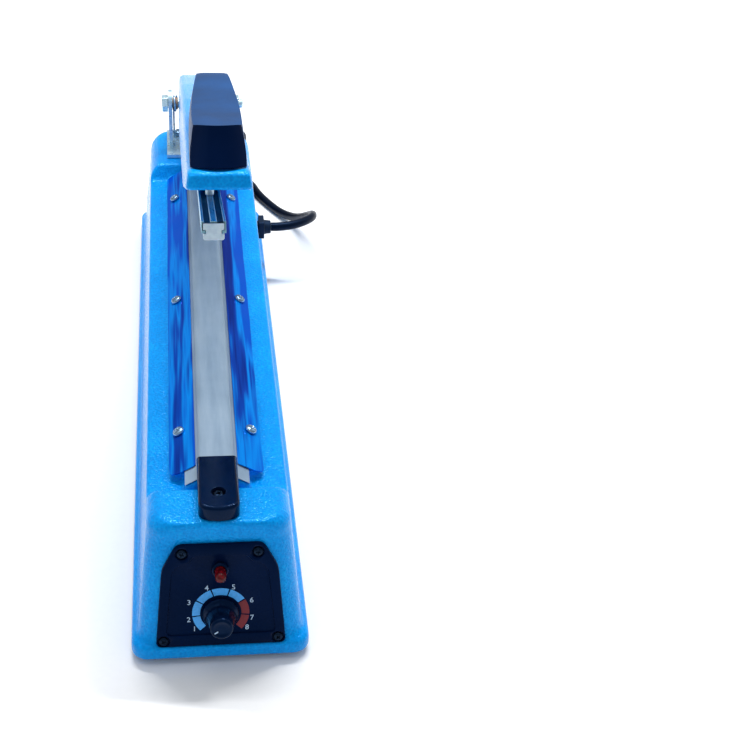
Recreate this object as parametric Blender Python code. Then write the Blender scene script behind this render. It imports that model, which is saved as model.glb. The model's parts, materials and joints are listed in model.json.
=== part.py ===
"""Impulse heat sealer for 300 mm bags, with its press arm raised.

Run with: blender --background --python part.py
X runs across the sealer, Y along it with the control panel at -Y, Z up from the table.
Sizes below are millimetres. Every solid is built at real size, in place, in metres.
"""
import math

import bmesh
import bpy
from mathutils import Matrix, Vector

MM = 0.001
GAP = 0.3              # clearance kept between touching pieces

# The sizes below count from the middle of the casting. The frame's origin is under the middle
# of the whole machine, knob included, so every piece is placed this much further back.
CENTRING = Vector((0.0, 5.1, 0.0))

# Base casting, heights above the table
FOOT_HEIGHT = 3.0      # rubber feet under the skirt
SKIRT_HALF = 42.5
BASE_HALF_LENGTH = 222.5
DECK_Z = 67.2          # flat top between the two end blocks
DECK_HALF = 33.7
WALL_FOOT_Z = 15.0     # where the upright wall rises from the skirt
WALL_FOOT_HALF = 38.8
FRONT_BLOCK_Z = 74.7
FRONT_BLOCK_HALF = 25.6
FRONT_BLOCK_REAR_Y = -181.6
REAR_BLOCK_Z = 77.0
REAR_BLOCK_FRONT_Y = 155.0
WALL = 2.6
ROOF_UNDERSIDE = 63.4
BOTTOM_SCREW_Y = (-150.0, 196.0)

# Sealing platform
PLATFORM_Z = 79.5      # top of the cloth
RAIL_HALF = 8.0
RAIL_Z = 78.2
RAIL_FRONT_Y = -190.0
RAIL_REAR_Y = 156.0
GUARD_INNER = (9.7, 77.9)
GUARD_OUTER = (22.7, 70.3)
GUARD_FRONT_Y = -168.4
GUARD_REAR_Y = 152.0
GUARD_THICK = 1.0
CLOTH_THICK = 0.25
CLOTH_HALF = 15.3
GUARD_SCREW_X = 17.3
GUARD_SCREW_Y = (-136.4, -9.9, 116.6)
COVER_HALF = 9.6
COVER_Z = 82.7
COVER_SCREW_INSET = 5.8
CLOTH_FRONT_Y = -179.0

# Control panel on the sloping front
PANEL_FOOT = (-221.6, 10.1)
PANEL_SLOPE = math.radians(79.4)
PANEL_THICK = 2.2
PANEL_TOP_Z = 63.0
DIAL_T = 17.6          # distances up the slope from the panel's lower edge
LAMP_T = 41.3
PANEL_OUTLINE = ((30.8, 0.0), (27.2, 42.0), (20.2, 54.9))
PANEL_SCREWS = ((27.0, 3.2), (17.6, 50.2))

# Hinge and press arm: r runs forward from the hinge, o upward, with the arm closed
HINGE_Y = 187.0
HINGE_Z = 108.5
ARM_RAISED = math.radians(18.4)
HANDLE_X = 2.6         # the arm stands a little to the right, beside its spring
NOSE_R = 357.0
BAR_FRONT_R = 351.0
BAR_REAR_R = 46.0
BAR_TOP = -20.2
SILICONE_FOOT = PLATFORM_Z + GAP - HINGE_Z
BRACKET_HALF = 20.8
BRACKET_PLATE = 2.4
BRACKET_TOP = 117.7
HINGE_BOLT_RADIUS = 3.0
BRACKET_SCREWS = ((-13.8, 200.0), (13.8, 200.0))
SPRING_X = -17.4         # wire centre of the first turn, beside the left cheek
SPRING_WIRE_RADIUS = 0.6
SPRING_COIL_RADIUS = 4.9
SPRING_PITCH = 1.7
SPRING_TURNS = 1.25
SPRING_LEG_FOOT = 81.5

# Micro switch under the arm's tail
PLUNGER_Y = 173.0
PLUNGER_TRAVEL = 2.5
ARM_TAIL_FOOT = -15.0

# Mains cord
CORD_DIAMETER = 6.0
GLAND_Y = 143.0
GLAND_Z = 38.0
COIL_CENTRE = (1.5, 264.0)
COIL_MEAN_RADIUS = 32.0
COIL_LAYERS = 3
PLUG_CENTRE = (23.0, 290.0)
PLUG_HALF_HEIGHT = 8.0
PLUG_AXIS_Z = COIL_LAYERS * CORD_DIAMETER + GAP + PLUG_HALF_HEIGHT
PLUG_PIN_X = 9.5
PLUG_PIN_RADIUS = 2.4
CORD_ROUTE = (
    (46.0, 143.0, 38.0), (50.0, 143.0, 38.0), (56.5, 143.8, 38.1), (62.7, 146.2, 38.1),
    (68.1, 149.9, 37.8), (72.4, 154.9, 37.1), (75.3, 161.0, 35.7), (76.8, 172.0, 31.6),
    (76.2, 182.6, 25.8), (74.2, 193.0, 19.4), (71.2, 203.0, 13.3), (67.2, 212.6, 8.4),
    (62.6, 222.0, 5.2), (57.6, 231.0, 3.6), (53.0, 239.8, 3.2), (49.0, 248.2, 3.2),
    (45.6, 256.2, 3.2), (42.9, 264.0, 3.2),
)

BLUE_PAINT = ("blue_hammer_paint", (0.02, 0.33, 0.62), 0.32, 0.15)
BLACK_PLASTIC = ("black_plastic", (0.012, 0.013, 0.016), 0.35, 0.0)
GUARD_FINISH = ("blue_guard_film", (0.01, 0.09, 0.55), 0.12, 0.85)
GREY_CLOTH = ("ptfe_cloth", (0.42, 0.40, 0.38), 0.55, 0.0)
ZINC = ("zinc_plated_steel", (0.62, 0.66, 0.70), 0.28, 1.0)
ALUMINIUM = ("aluminium", (0.70, 0.71, 0.72), 0.35, 1.0)
WHITE_SILICONE = ("white_silicone", (0.80, 0.86, 0.88), 0.5, 0.0)
RED_LENS = ("red_lens", (0.45, 0.01, 0.01), 0.15, 0.0)
RUBBER = ("black_rubber", (0.02, 0.02, 0.02), 0.8, 0.0)
CORD_PVC = ("cord_pvc", (0.015, 0.015, 0.017), 0.45, 0.0)
NICHROME = ("nichrome", (0.45, 0.43, 0.41), 0.4, 1.0)
CIRCUIT_BOARD = ("circuit_board", (0.03, 0.20, 0.08), 0.5, 0.0)
LAMINATED_STEEL = ("laminated_steel", (0.25, 0.25, 0.26), 0.5, 0.9)
COIL_TAPE = ("winding_tape", (0.70, 0.52, 0.08), 0.5, 0.0)
SWITCH_PLASTIC = ("switch_plastic", (0.05, 0.05, 0.06), 0.4, 0.0)


# ---------------------------------------------------------------- scene helpers

def clear_scene():
    for scene_object in list(bpy.data.objects):
        bpy.data.objects.remove(scene_object, do_unlink=True)


def get_material(finish):
    name, colour, roughness, metallic = finish
    material = bpy.data.materials.get(name)
    if material:
        return material
    material = bpy.data.materials.new(name)
    material.use_nodes = True
    shader = material.node_tree.nodes["Principled BSDF"]
    shader.inputs["Base Color"].default_value = (*colour, 1.0)
    shader.inputs["Roughness"].default_value = roughness
    shader.inputs["Metallic"].default_value = metallic
    return material


def add_solid(name, mesh_data, finish, origin=(0.0, 0.0, 0.0), parent=None):
    """Turn a bmesh in millimetres into an object whose origin is at the given point.

    A moving piece is parented to the empty at that point.
    """
    bmesh.ops.recalc_face_normals(mesh_data, faces=mesh_data.faces[:])
    bmesh.ops.transform(mesh_data, matrix=Matrix.Translation(-Vector(origin)), verts=mesh_data.verts)
    bmesh.ops.scale(mesh_data, vec=(MM, MM, MM), verts=mesh_data.verts)
    mesh = bpy.data.meshes.new(name)
    mesh_data.to_mesh(mesh)
    mesh_data.free()
    solid = bpy.data.objects.new(name, mesh)
    solid.location = (Vector(origin) + CENTRING) * MM
    bpy.context.scene.collection.objects.link(solid)
    mesh.materials.append(get_material(finish))
    if parent:
        solid.parent = parent
        solid.location = (0.0, 0.0, 0.0)
    return solid


def add_boolean(solid, cutter_mesh, operation="DIFFERENCE"):
    """Apply one EXACT boolean with a hidden helper object."""
    helper = add_solid(f"helper_{solid.name}_{len(solid.modifiers)}", cutter_mesh, BLACK_PLASTIC)
    if solid.parent:
        helper.parent = solid.parent
        helper.matrix_parent_inverse = solid.parent.matrix_basis.inverted()
    helper.hide_render = True
    helper.display_type = "WIRE"
    modifier = solid.modifiers.new(operation.lower(), "BOOLEAN")
    modifier.operation = operation
    modifier.solver = "EXACT"
    modifier.object = helper


# ---------------------------------------------------------------- mesh helpers

def new_mesh():
    return bmesh.new()


def add_loft(mesh_data, rings):
    """Skin closed rings of equal length and cap both ends."""
    built = [[mesh_data.verts.new(point) for point in ring] for ring in rings]
    count = len(built[0])
    for lower, upper in zip(built, built[1:]):
        for index in range(count):
            following = (index + 1) % count
            mesh_data.faces.new((lower[index], lower[following], upper[following], upper[index]))
    mesh_data.faces.new(list(reversed(built[0])))
    mesh_data.faces.new(built[-1])


def add_box(mesh_data, low, high):
    corners = ((low[0], low[1]), (high[0], low[1]), (high[0], high[1]), (low[0], high[1]))
    add_loft(mesh_data, [[(x, y, z) for x, y in corners] for z in (low[2], high[2])])


def add_prism_along_y(mesh_data, outline_xz, y_start, y_end):
    add_loft(mesh_data, [[(x, y, z) for x, z in outline_xz] for y in (y_start, y_end)])


def add_prism_along_x(mesh_data, outline_yz, x_start, x_end):
    add_loft(mesh_data, [[(x, y, z) for y, z in outline_yz] for x in (x_start, x_end)])


def add_lathe(mesh_data, profile, centre, axis=(0.0, 0.0, 1.0), sides=24, turn=0.0):
    """Turn (radius, height) points about an axis; the profile runs from end to end."""
    frame = Vector(axis).normalized().to_track_quat("Z", "Y").to_matrix()
    rings = []
    for radius, height in profile:
        ring = []
        for step in range(sides):
            angle = 2.0 * math.pi * step / sides + turn
            local = Vector((radius * math.cos(angle), radius * math.sin(angle), height))
            ring.append(Vector(centre) + frame @ local)
        rings.append(ring)
    add_loft(mesh_data, rings)


def add_ring(mesh_data, profile, centre, axis=(0.0, 0.0, 1.0), sides=32):
    """Turn a closed (radius, height) outline into a ring."""
    frame = Vector(axis).normalized().to_track_quat("Z", "Y").to_matrix()
    loops = []
    for step in range(sides):
        angle = 2.0 * math.pi * step / sides
        loop = []
        for radius, height in profile:
            local = Vector((radius * math.cos(angle), radius * math.sin(angle), height))
            loop.append(mesh_data.verts.new(Vector(centre) + frame @ local))
        loops.append(loop)
    count = len(profile)
    for step in range(sides):
        here = loops[step]
        there = loops[(step + 1) % sides]
        for index in range(count):
            following = (index + 1) % count
            mesh_data.faces.new((here[index], here[following], there[following], there[index]))


def rounded_outline(half_width, low, high, radius, corner_steps=4):
    """Counter-clockwise rounded rectangle about x = 0, from low to high on the second axis."""
    centres = (
        (half_width - radius, low + radius, -90.0),
        (half_width - radius, high - radius, 0.0),
        (radius - half_width, high - radius, 90.0),
        (radius - half_width, low + radius, 180.0),
    )
    outline = []
    for centre_x, centre_y, start in centres:
        for step in range(corner_steps + 1):
            angle = math.radians(start + 90.0 * step / corner_steps)
            outline.append((centre_x + radius * math.cos(angle), centre_y + radius * math.sin(angle)))
    return outline


def pan_screw(mesh_data, seat, axis, head_radius, head_height, shank_radius, shank_length):
    """A domed screw whose head sits on the seat point and whose shank runs against the axis."""
    profile = (
        (shank_radius, -shank_length),
        (shank_radius, 0.0),
        (head_radius, 0.0),
        (head_radius, 0.45 * head_height),
        (0.8 * head_radius, 0.85 * head_height),
        (0.4 * head_radius, head_height),
    )
    add_lathe(mesh_data, profile, seat, axis, sides=16)


def panel_point(across, up_slope, out=0.0):
    """World point on the control panel's face."""
    cosine = math.cos(PANEL_SLOPE)
    sine = math.sin(PANEL_SLOPE)
    y = PANEL_FOOT[0] + up_slope * cosine - out * sine
    z = PANEL_FOOT[1] + up_slope * sine + out * cosine
    return Vector((across, y, z))


def panel_normal():
    return Vector((0.0, -math.sin(PANEL_SLOPE), math.cos(PANEL_SLOPE)))


# ---------------------------------------------------------------- base

def wall_half_width(z):
    rise = (z - WALL_FOOT_Z) / (DECK_Z - WALL_FOOT_Z)
    return WALL_FOOT_HALF + rise * (DECK_HALF - WALL_FOOT_HALF)


def front_face_y(z):
    """The front wall's surface, one panel thickness behind the panel's face, upright above the panel."""
    foot_y, foot_z = PANEL_FOOT
    return foot_y + PANEL_THICK + (min(z, PANEL_TOP_Z) - foot_z) / math.tan(PANEL_SLOPE)


def rear_face_y(z):
    return 219.0 - 0.06 * (z - WALL_FOOT_Z)


def base_ring(half_width, y_front, y_rear, radius, z_front, z_rear, corner_steps=6):
    """One level of the casting; its front and rear ends may stand at different heights."""
    corner_x = half_width - radius
    right = []
    for step in range(corner_steps + 1):
        angle = math.radians(-90.0 + 90.0 * step / corner_steps)
        y = y_front + radius + radius * math.sin(angle)
        right.append((corner_x + radius * math.cos(angle), y, z_front))
    right.append((half_width, -120.0, z_front))
    right.append((half_width, 120.0, z_rear))
    for step in range(corner_steps + 1):
        angle = math.radians(90.0 * step / corner_steps)
        y = y_rear - radius + radius * math.sin(angle)
        right.append((corner_x + radius * math.cos(angle), y, z_rear))
    left = [(-x, y, z) for x, y, z in reversed(right)]
    return right + left


def base_levels():
    """Half width, front, rear, corner radius, and the height at the front and rear ends."""
    foot = FOOT_HEIGHT
    skirt = BASE_HALF_LENGTH
    levels = [
        (SKIRT_HALF - 0.4, 0.4 - skirt, skirt - 0.4, 8.0, foot, foot),
        (SKIRT_HALF, -skirt, skirt, 8.3, foot + 1.0, foot + 1.0),
        (SKIRT_HALF - 0.2, 0.2 - skirt, skirt - 0.2, 8.3, foot + 6.0, foot + 6.0),
        (SKIRT_HALF - 0.9, 0.9 - skirt, skirt - 0.9, 8.3, foot + 7.5, foot + 7.5),
        (SKIRT_HALF - 2.8, 2.8 - skirt, skirt - 2.8, 8.6, foot + 8.6, foot + 8.6),
    ]
    for z in (WALL_FOOT_Z, 32.0, 50.0, DECK_Z - 3.0):
        radius = 9.0 + 3.0 * (z - WALL_FOOT_Z) / (DECK_Z - WALL_FOOT_Z)
        levels.append((wall_half_width(z), front_face_y(z), rear_face_y(z), radius, z, z))
    shoulder = (
        (0.0, 0.0, 0.15, 12.0),
        (0.9, 0.1, 0.45, 12.0),
        (2.7, 0.2, 0.70, 11.5),
        (5.0, 0.5, 0.90, 10.5),
        (6.7, 1.1, 0.975, 9.5),
        (DECK_HALF - FRONT_BLOCK_HALF, 2.2, 1.0, 8.5),
    )
    for inset, setback, rise, radius in shoulder:
        z_front = DECK_Z + rise * (FRONT_BLOCK_Z - DECK_Z)
        z_rear = DECK_Z + rise * (REAR_BLOCK_Z - DECK_Z)
        y_front = front_face_y(z_front) + setback
        y_rear = rear_face_y(DECK_Z) - 2.0 * setback
        levels.append((DECK_HALF - inset, y_front, y_rear, radius, z_front, z_rear))
    return levels


def base_body():
    """Stack the levels and close the top with strips from side to side."""
    mesh_data = new_mesh()
    rings = [[mesh_data.verts.new(point) for point in base_ring(*level)] for level in base_levels()]
    count = len(rings[0])
    for lower, upper in zip(rings, rings[1:]):
        for index in range(count):
            following = (index + 1) % count
            mesh_data.faces.new((lower[index], lower[following], upper[following], upper[index]))
    for ring in (rings[0], rings[-1]):
        for index in range(count // 2 - 1):
            left = count - 1 - index
            mesh_data.faces.new((ring[index], ring[index + 1], ring[left - 1], ring[left]))
    return mesh_data


def deck_cutter():
    """Everything above the deck between the two end blocks."""
    front = FRONT_BLOCK_REAR_Y
    rear = REAR_BLOCK_FRONT_Y
    outline = (
        (front - 2.6, 90.0), (front - 2.6, FRONT_BLOCK_Z + 0.01), (front - 0.8, FRONT_BLOCK_Z - 1.0),
        (front, FRONT_BLOCK_Z - 3.0), (front + 0.8, DECK_Z + 1.2), (front + 2.4, DECK_Z),
        (rear - 2.0, DECK_Z), (rear, DECK_Z + 1.0), (rear + 3.2, REAR_BLOCK_Z - 3.4),
        (rear + 4.6, REAR_BLOCK_Z - 1.0), (rear + 7.0, REAR_BLOCK_Z + 0.01), (rear + 7.0, 90.0),
    )
    mesh_data = new_mesh()
    add_prism_along_x(mesh_data, outline, -60.0, 60.0)
    return mesh_data


def ridge_height(x):
    """Casting surface under a guard at distance x from the centre line."""
    (inner_x, inner_z), (outer_x, outer_z) = GUARD_INNER, GUARD_OUTER
    slope = (outer_z - inner_z) / (outer_x - inner_x)
    drop = (GUARD_THICK + CLOTH_THICK + 2.0 * GAP) * math.hypot(1.0, slope)
    return inner_z + slope * (x - inner_x) - drop


def guard_ridge():
    """The roof-shaped ridge under the guards, narrower where only the cloth lies on it."""
    crown_x = RAIL_HALF + 1.2
    wide = GUARD_OUTER[0] - 1.0
    step_y = GUARD_FRONT_Y + 2.0
    rings = []
    for y, foot_x in (
        (CLOTH_FRONT_Y - 0.4, CLOTH_HALF), (step_y, CLOTH_HALF),
        (step_y + 1.0, wide), (GUARD_REAR_Y + 2.0, wide),
    ):
        half_outline = (
            (foot_x + 0.7, DECK_Z - 2.0), (foot_x, ridge_height(foot_x)), (crown_x, ridge_height(crown_x)),
        )
        outline = list(half_outline) + [(-x, z) for x, z in reversed(half_outline)]
        rings.append([(x, y, z) for x, z in outline])
    mesh_data = new_mesh()
    add_loft(mesh_data, rings)
    return mesh_data


def cavity_cutter():
    """Hollow inside of the casting, open underneath."""
    levels = [
        (SKIRT_HALF - 3.0, -BASE_HALF_LENGTH + 3.2, BASE_HALF_LENGTH - 3.2, 6.0, FOOT_HEIGHT - 2.0),
        (SKIRT_HALF - 3.0, -BASE_HALF_LENGTH + 3.2, BASE_HALF_LENGTH - 3.2, 6.0, FOOT_HEIGHT + 4.0),
    ]
    for z in (WALL_FOOT_Z - 2.0, 40.0, ROOF_UNDERSIDE):
        half_width = wall_half_width(max(z, WALL_FOOT_Z)) - WALL
        levels.append((half_width, front_face_y(z) + WALL, rear_face_y(z) - WALL, 7.0, z))
    rings = []
    for half_width, y_front, y_rear, radius, z in levels:
        rings.append([(x, y, z) for x, y in rounded_outline(half_width, y_front, y_rear, radius)])
    mesh_data = new_mesh()
    add_loft(mesh_data, rings)
    return mesh_data


def bosses():
    """Posts inside the casting for the two screws of the bottom plate."""
    mesh_data = new_mesh()
    for y in BOTTOM_SCREW_Y:
        add_lathe(mesh_data, ((4.5, 6.4), (4.5, ROOF_UNDERSIDE + 1.0)), (0.0, y, 0.0), sides=16)
    return mesh_data


def base_hole_cutter():
    """Slot for the rail and holes for screws, dial, lamp, switch and gland."""
    mesh_data = new_mesh()
    slot_half = RAIL_HALF + GAP
    slot_low = (-slot_half, RAIL_FRONT_Y - 1.0, DECK_Z - 0.7)
    slot_high = (slot_half, RAIL_REAR_Y + 1.0, 95.0)
    add_box(mesh_data, slot_low, slot_high)
    normal = panel_normal()
    add_lathe(mesh_data, ((7.0, -12.0), (7.0, 4.0)), panel_point(0.0, DIAL_T), normal, sides=20)
    add_lathe(mesh_data, ((3.6, -12.0), (3.6, 4.0)), panel_point(0.0, LAMP_T), normal, sides=20)
    for across, up_slope in PANEL_SCREWS:
        for side in (-1.0, 1.0):
            seat = panel_point(side * across, up_slope)
            add_lathe(mesh_data, ((1.6, -12.0), (1.6, 4.0)), seat, normal, sides=12)
    for y in GUARD_SCREW_Y:
        for side in (-1.0, 1.0):
            add_lathe(mesh_data, ((1.9, 55.0), (1.9, 90.0)), (side * GUARD_SCREW_X, y, 0.0), sides=12)
    add_lathe(mesh_data, ((3.2, 55.0), (3.2, 95.0)), (0.0, PLUNGER_Y, 0.0), sides=16)
    for y in BOTTOM_SCREW_Y:
        add_lathe(mesh_data, ((1.9, 2.0), (1.9, 19.0)), (0.0, y, 0.0), sides=12)
    for x, y in BRACKET_SCREWS:
        add_lathe(mesh_data, ((2.3, DECK_Z + 1.0), (2.3, 90.0)), (x, y, 0.0), sides=12)
    for y in (RAIL_FRONT_Y - COVER_SCREW_INSET, RAIL_REAR_Y + COVER_SCREW_INSET):
        add_lathe(mesh_data, ((1.9, DECK_Z + 0.5), (1.9, 90.0)), (0.0, y, 0.0), sides=12)
    add_lathe(mesh_data, ((4.4, 20.0), (4.4, 60.0)), (0.0, GLAND_Y, GLAND_Z), (1.0, 0.0, 0.0), sides=20)
    return mesh_data


def make_base_shell():
    shell = add_solid("base_shell", base_body(), BLUE_PAINT)
    add_boolean(shell, deck_cutter())
    add_boolean(shell, guard_ridge(), "UNION")
    add_boolean(shell, cavity_cutter())
    add_boolean(shell, bosses(), "UNION")
    add_boolean(shell, base_hole_cutter())
    seat_depth = PANEL_THICK - 0.15
    add_boolean(shell, panel_slab(panel_outline(-GAP), -seat_depth, 6.0))


def make_bottom_plate():
    plate = new_mesh()
    outline = rounded_outline(SKIRT_HALF - 3.9, -BASE_HALF_LENGTH + 4.2, BASE_HALF_LENGTH - 4.2, 5.5)
    add_loft(plate, [[(x, y, z) for x, y in outline] for z in (4.6, 6.0)])
    solid = add_solid("bottom_plate", plate, ZINC)
    holes = new_mesh()
    for y in BOTTOM_SCREW_Y:
        add_lathe(holes, ((2.3, 2.0), (2.3, 9.0)), (0.0, y, 0.0), sides=12)
    for x, y in foot_places():
        add_lathe(holes, ((2.6, 2.0), (2.6, 9.0)), (x, y, 0.0), sides=12)
    add_boolean(solid, holes)


def foot_places():
    return [(x, y) for y in (-196.0, 196.0) for x in (-28.0, 28.0)]


def make_feet():
    """Rubber feet with a stem that snaps through the bottom plate."""
    for number, (x, y) in enumerate(foot_places(), start=1):
        foot = new_mesh()
        profile = ((6.2, 0.0), (7.4, 0.8), (7.4, 4.3), (2.3, 4.3), (2.3, 6.3), (3.2, 6.4), (2.0, 8.6))
        add_lathe(foot, profile, (x, y, 0.0), sides=20)
        add_solid(f"foot_{number}", foot, RUBBER)


def make_plate_screws():
    for number, y in enumerate(BOTTOM_SCREW_Y, start=1):
        screw = new_mesh()
        pan_screw(screw, (0.0, y, 4.3), (0.0, 0.0, -1.0), 3.6, 2.2, 1.6, 12.0)
        add_solid(f"plate_screw_{number}", screw, ZINC)


# ---------------------------------------------------------------- control panel

def panel_outline(margin=0.0):
    """The six-sided panel, as (across, up slope) points, counter-clockwise seen from in front."""
    (foot_half, foot_t), (mid_half, mid_t), (top_half, top_t) = PANEL_OUTLINE
    right = [
        (foot_half - margin, foot_t + margin),
        (mid_half - margin, mid_t - 0.4 * margin),
        (top_half - 0.5 * margin, top_t - margin),
    ]
    return right + [(-across, up_slope) for across, up_slope in reversed(right)]


def panel_slab(outline, out_low, out_high):
    mesh_data = new_mesh()
    add_loft(mesh_data, [[panel_point(a, t, out) for a, t in outline] for out in (out_low, out_high)])
    return mesh_data


def make_control_panel():
    panel = add_solid("control_panel", panel_slab(panel_outline(), GAP - PANEL_THICK, 0.0), BLACK_PLASTIC)
    recess = panel_slab(panel_outline(4.6), -0.6, 3.0)
    add_boolean(panel, recess)
    normal = panel_normal()
    holes = new_mesh()
    add_lathe(holes, ((4.0, -5.0), (4.0, 3.0)), panel_point(0.0, DIAL_T), normal, sides=20)
    add_lathe(holes, ((3.0, -5.0), (3.0, 3.0)), panel_point(0.0, LAMP_T), normal, sides=20)
    for across, up_slope in PANEL_SCREWS:
        for side in (-1.0, 1.0):
            place = panel_point(side * across, up_slope)
            add_lathe(holes, ((1.6, -5.0), (1.6, -1.0), (2.7, -1.0), (2.7, 3.0)), place, normal, sides=16)
    add_boolean(panel, holes)


def make_panel_screws():
    number = 0
    for across, up_slope in PANEL_SCREWS:
        for side in (-1.0, 1.0):
            number += 1
            screw = new_mesh()
            seat = panel_point(side * across, up_slope, -0.7)
            pan_screw(screw, seat, panel_normal(), 2.4, 1.5, 1.3, 8.0)
            add_solid(f"panel_screw_{number}", screw, BLACK_PLASTIC)


def make_pilot_lamp():
    lamp = new_mesh()
    profile = (
        (2.7, -9.0), (2.7, -0.6 + GAP), (4.1, -0.6 + GAP), (4.1, 1.4), (2.7, 1.6),
        (2.7, 6.4), (2.4, 8.0), (1.6, 9.2), (0.6, 9.8),
    )
    add_lathe(lamp, profile, panel_point(0.0, LAMP_T), panel_normal(), sides=24)
    add_solid("pilot_lamp", lamp, RED_LENS)


def make_timer_dial(knob_pivot):
    """Potentiometer behind the panel, its shaft, and the knob that turns with the shaft."""
    normal = panel_normal()
    place = panel_point(0.0, DIAL_T)
    body = new_mesh()
    add_lathe(body, ((8.0, -18.0), (8.0, -7.2), (3.6, -7.2), (3.6, 0.6)), place, normal, sides=24)
    potentiometer = add_solid("potentiometer_body", body, SWITCH_PLASTIC)
    bore = new_mesh()
    add_lathe(bore, ((2.3, -14.0), (2.3, 4.0)), place, normal, sides=16)
    add_boolean(potentiometer, bore)
    shaft = new_mesh()
    add_lathe(shaft, ((2.0, -13.6), (2.0, 9.0)), place, normal, sides=16)
    add_solid("potentiometer_shaft", shaft, ALUMINIUM, tuple(place), knob_pivot)
    knob = new_mesh()
    profile = (
        (8.5, -0.6 + GAP), (8.5, 1.4), (7.4, 3.2), (6.3, 4.2),
        (5.7, 8.0), (5.4, 12.8), (4.6, 13.7), (1.5, 13.5),
    )
    add_lathe(knob, profile, place, normal, sides=32)
    timer_knob = add_solid("timer_knob", knob, BLACK_PLASTIC, tuple(place), knob_pivot)
    socket = new_mesh()
    add_lathe(socket, ((4.4, -2.0), (4.4, 1.0), (2.3, 1.0), (2.3, 9.4)), place, normal, sides=16)
    add_boolean(timer_knob, socket)


# ---------------------------------------------------------------- electrics

def make_timer_board():
    board = new_mesh()
    add_box(board, (-24.0, -190.0, 44.0), (24.0, -158.0, 45.6))
    for low, high in (
        ((-20.0, -186.0, 33.0), (-4.0, -172.0, 44.5)),
        ((4.0, -182.0, 36.0), (18.0, -166.0, 44.5)),
    ):
        add_box(board, low, high)
    merge_boxes("timer_board", board, CIRCUIT_BOARD)


def merge_boxes(name, mesh_data, finish):
    """Join boxes that overlap into one closed body with a self-union."""
    solid = add_solid(name, mesh_data, finish)
    empty_cutter = new_mesh()
    add_box(empty_cutter, (0.0, 0.0, 400.0), (1.0, 1.0, 401.0))
    add_boolean(solid, empty_cutter)
    solid.modifiers[-1].use_self = True


def make_transformer():
    core_outline = ((-27.0, 9.0), (27.0, 9.0), (27.0, 54.0), (-27.0, 54.0))
    core = new_mesh()
    add_prism_along_y(core, core_outline, -52.0, -14.0)
    transformer = add_solid("transformer_core", core, LAMINATED_STEEL)
    windows = new_mesh()
    for side in (-1.0, 1.0):
        x_low, x_high = sorted((side * 9.0, side * 18.0))
        add_box(windows, (x_low, -60.0, 18.0), (x_high, -5.0, 45.0))
    add_boolean(transformer, windows)
    winding = new_mesh()
    outline = rounded_outline(17.6, -60.0, -6.0, 4.0)
    add_loft(winding, [[(x, y, z) for x, y in outline] for z in (18.4, 44.6)])
    coil = add_solid("transformer_coil", winding, COIL_TAPE)
    limb = new_mesh()
    add_box(limb, (-9.4, -52.4, 10.0), (9.4, -13.6, 60.0))
    add_boolean(coil, limb)


def make_micro_switch():
    switch = new_mesh()
    add_box(switch, (-10.0, PLUNGER_Y - 3.2, 40.0), (10.0, PLUNGER_Y + 3.2, 56.0))
    add_solid("micro_switch", switch, SWITCH_PLASTIC)


def plunger_top():
    """Resting height of the push rod, one travel above where the closed arm holds it."""
    return HINGE_Z + ARM_TAIL_FOOT - GAP + PLUNGER_TRAVEL


def make_switch_plunger():
    top = plunger_top()
    plunger = new_mesh()
    foot = 56.3 + PLUNGER_TRAVEL
    profile = ((2.6, foot), (2.6, top - 1.2), (1.6, top))
    add_lathe(plunger, profile, (0.0, PLUNGER_Y, 0.0), sides=16)
    add_solid("switch_plunger", plunger, ZINC, (0.0, PLUNGER_Y, top))


# ---------------------------------------------------------------- sealing platform

def make_platform():
    rail = new_mesh()
    half = RAIL_HALF
    outline = (
        (-half, DECK_Z - 0.4), (half, DECK_Z - 0.4), (half, RAIL_Z - 1.6), (half - 1.6, RAIL_Z - 0.3),
        (half - 4.0, RAIL_Z), (4.0 - half, RAIL_Z), (1.6 - half, RAIL_Z - 0.3), (-half, RAIL_Z - 1.6),
    )
    add_prism_along_y(rail, outline, RAIL_FRONT_Y, RAIL_REAR_Y)
    add_solid("platform_rail", rail, ALUMINIUM)
    strip = new_mesh()
    add_box(strip, (-3.5, RAIL_FRONT_Y + 9.0, RAIL_Z + 0.15), (3.5, RAIL_REAR_Y - 3.0, RAIL_Z + 0.4))
    add_solid("insulation_strip", strip, GREY_CLOTH)
    element = new_mesh()
    add_box(element, (-1.5, RAIL_FRONT_Y + 5.0, RAIL_Z + 0.55), (1.5, RAIL_REAR_Y - 1.0, RAIL_Z + 0.75))
    add_solid("heating_element", element, NICHROME)


def cloth_profile():
    """Right half of the cloth's upper surface, from the centre line outward."""
    drape = [
        (0.0, PLATFORM_Z), (4.2, PLATFORM_Z - 0.1), (7.0, PLATFORM_Z - 0.4),
        (8.3, PLATFORM_Z - 1.3), (8.7, PLATFORM_Z - 2.2),
    ]
    for x in (RAIL_HALF + 1.9, CLOTH_HALF):
        drape.append((x, ridge_height(x) + GAP + CLOTH_THICK * 1.2))
    return drape


def make_ptfe_cloth():
    upper = cloth_profile()
    lower = []
    for index, (x, z) in enumerate(upper):
        before = upper[max(index - 1, 0)]
        after = upper[min(index + 1, len(upper) - 1)]
        along = Vector((after[0] - before[0], after[1] - before[1])).normalized()
        lower.append((x + along.y * CLOTH_THICK, z - along.x * CLOTH_THICK))
    right_side = upper + list(reversed(lower[1:]))
    left_side = [(-x, z) for x, z in reversed(upper[1:])]
    left_lower = [(-x, z) for x, z in lower[1:]]
    outline = left_side + right_side + [lower[0]] + left_lower
    cloth = new_mesh()
    add_prism_along_y(cloth, outline, CLOTH_FRONT_Y, GUARD_REAR_Y)
    add_solid("ptfe_cloth", cloth, GREY_CLOTH)


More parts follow.
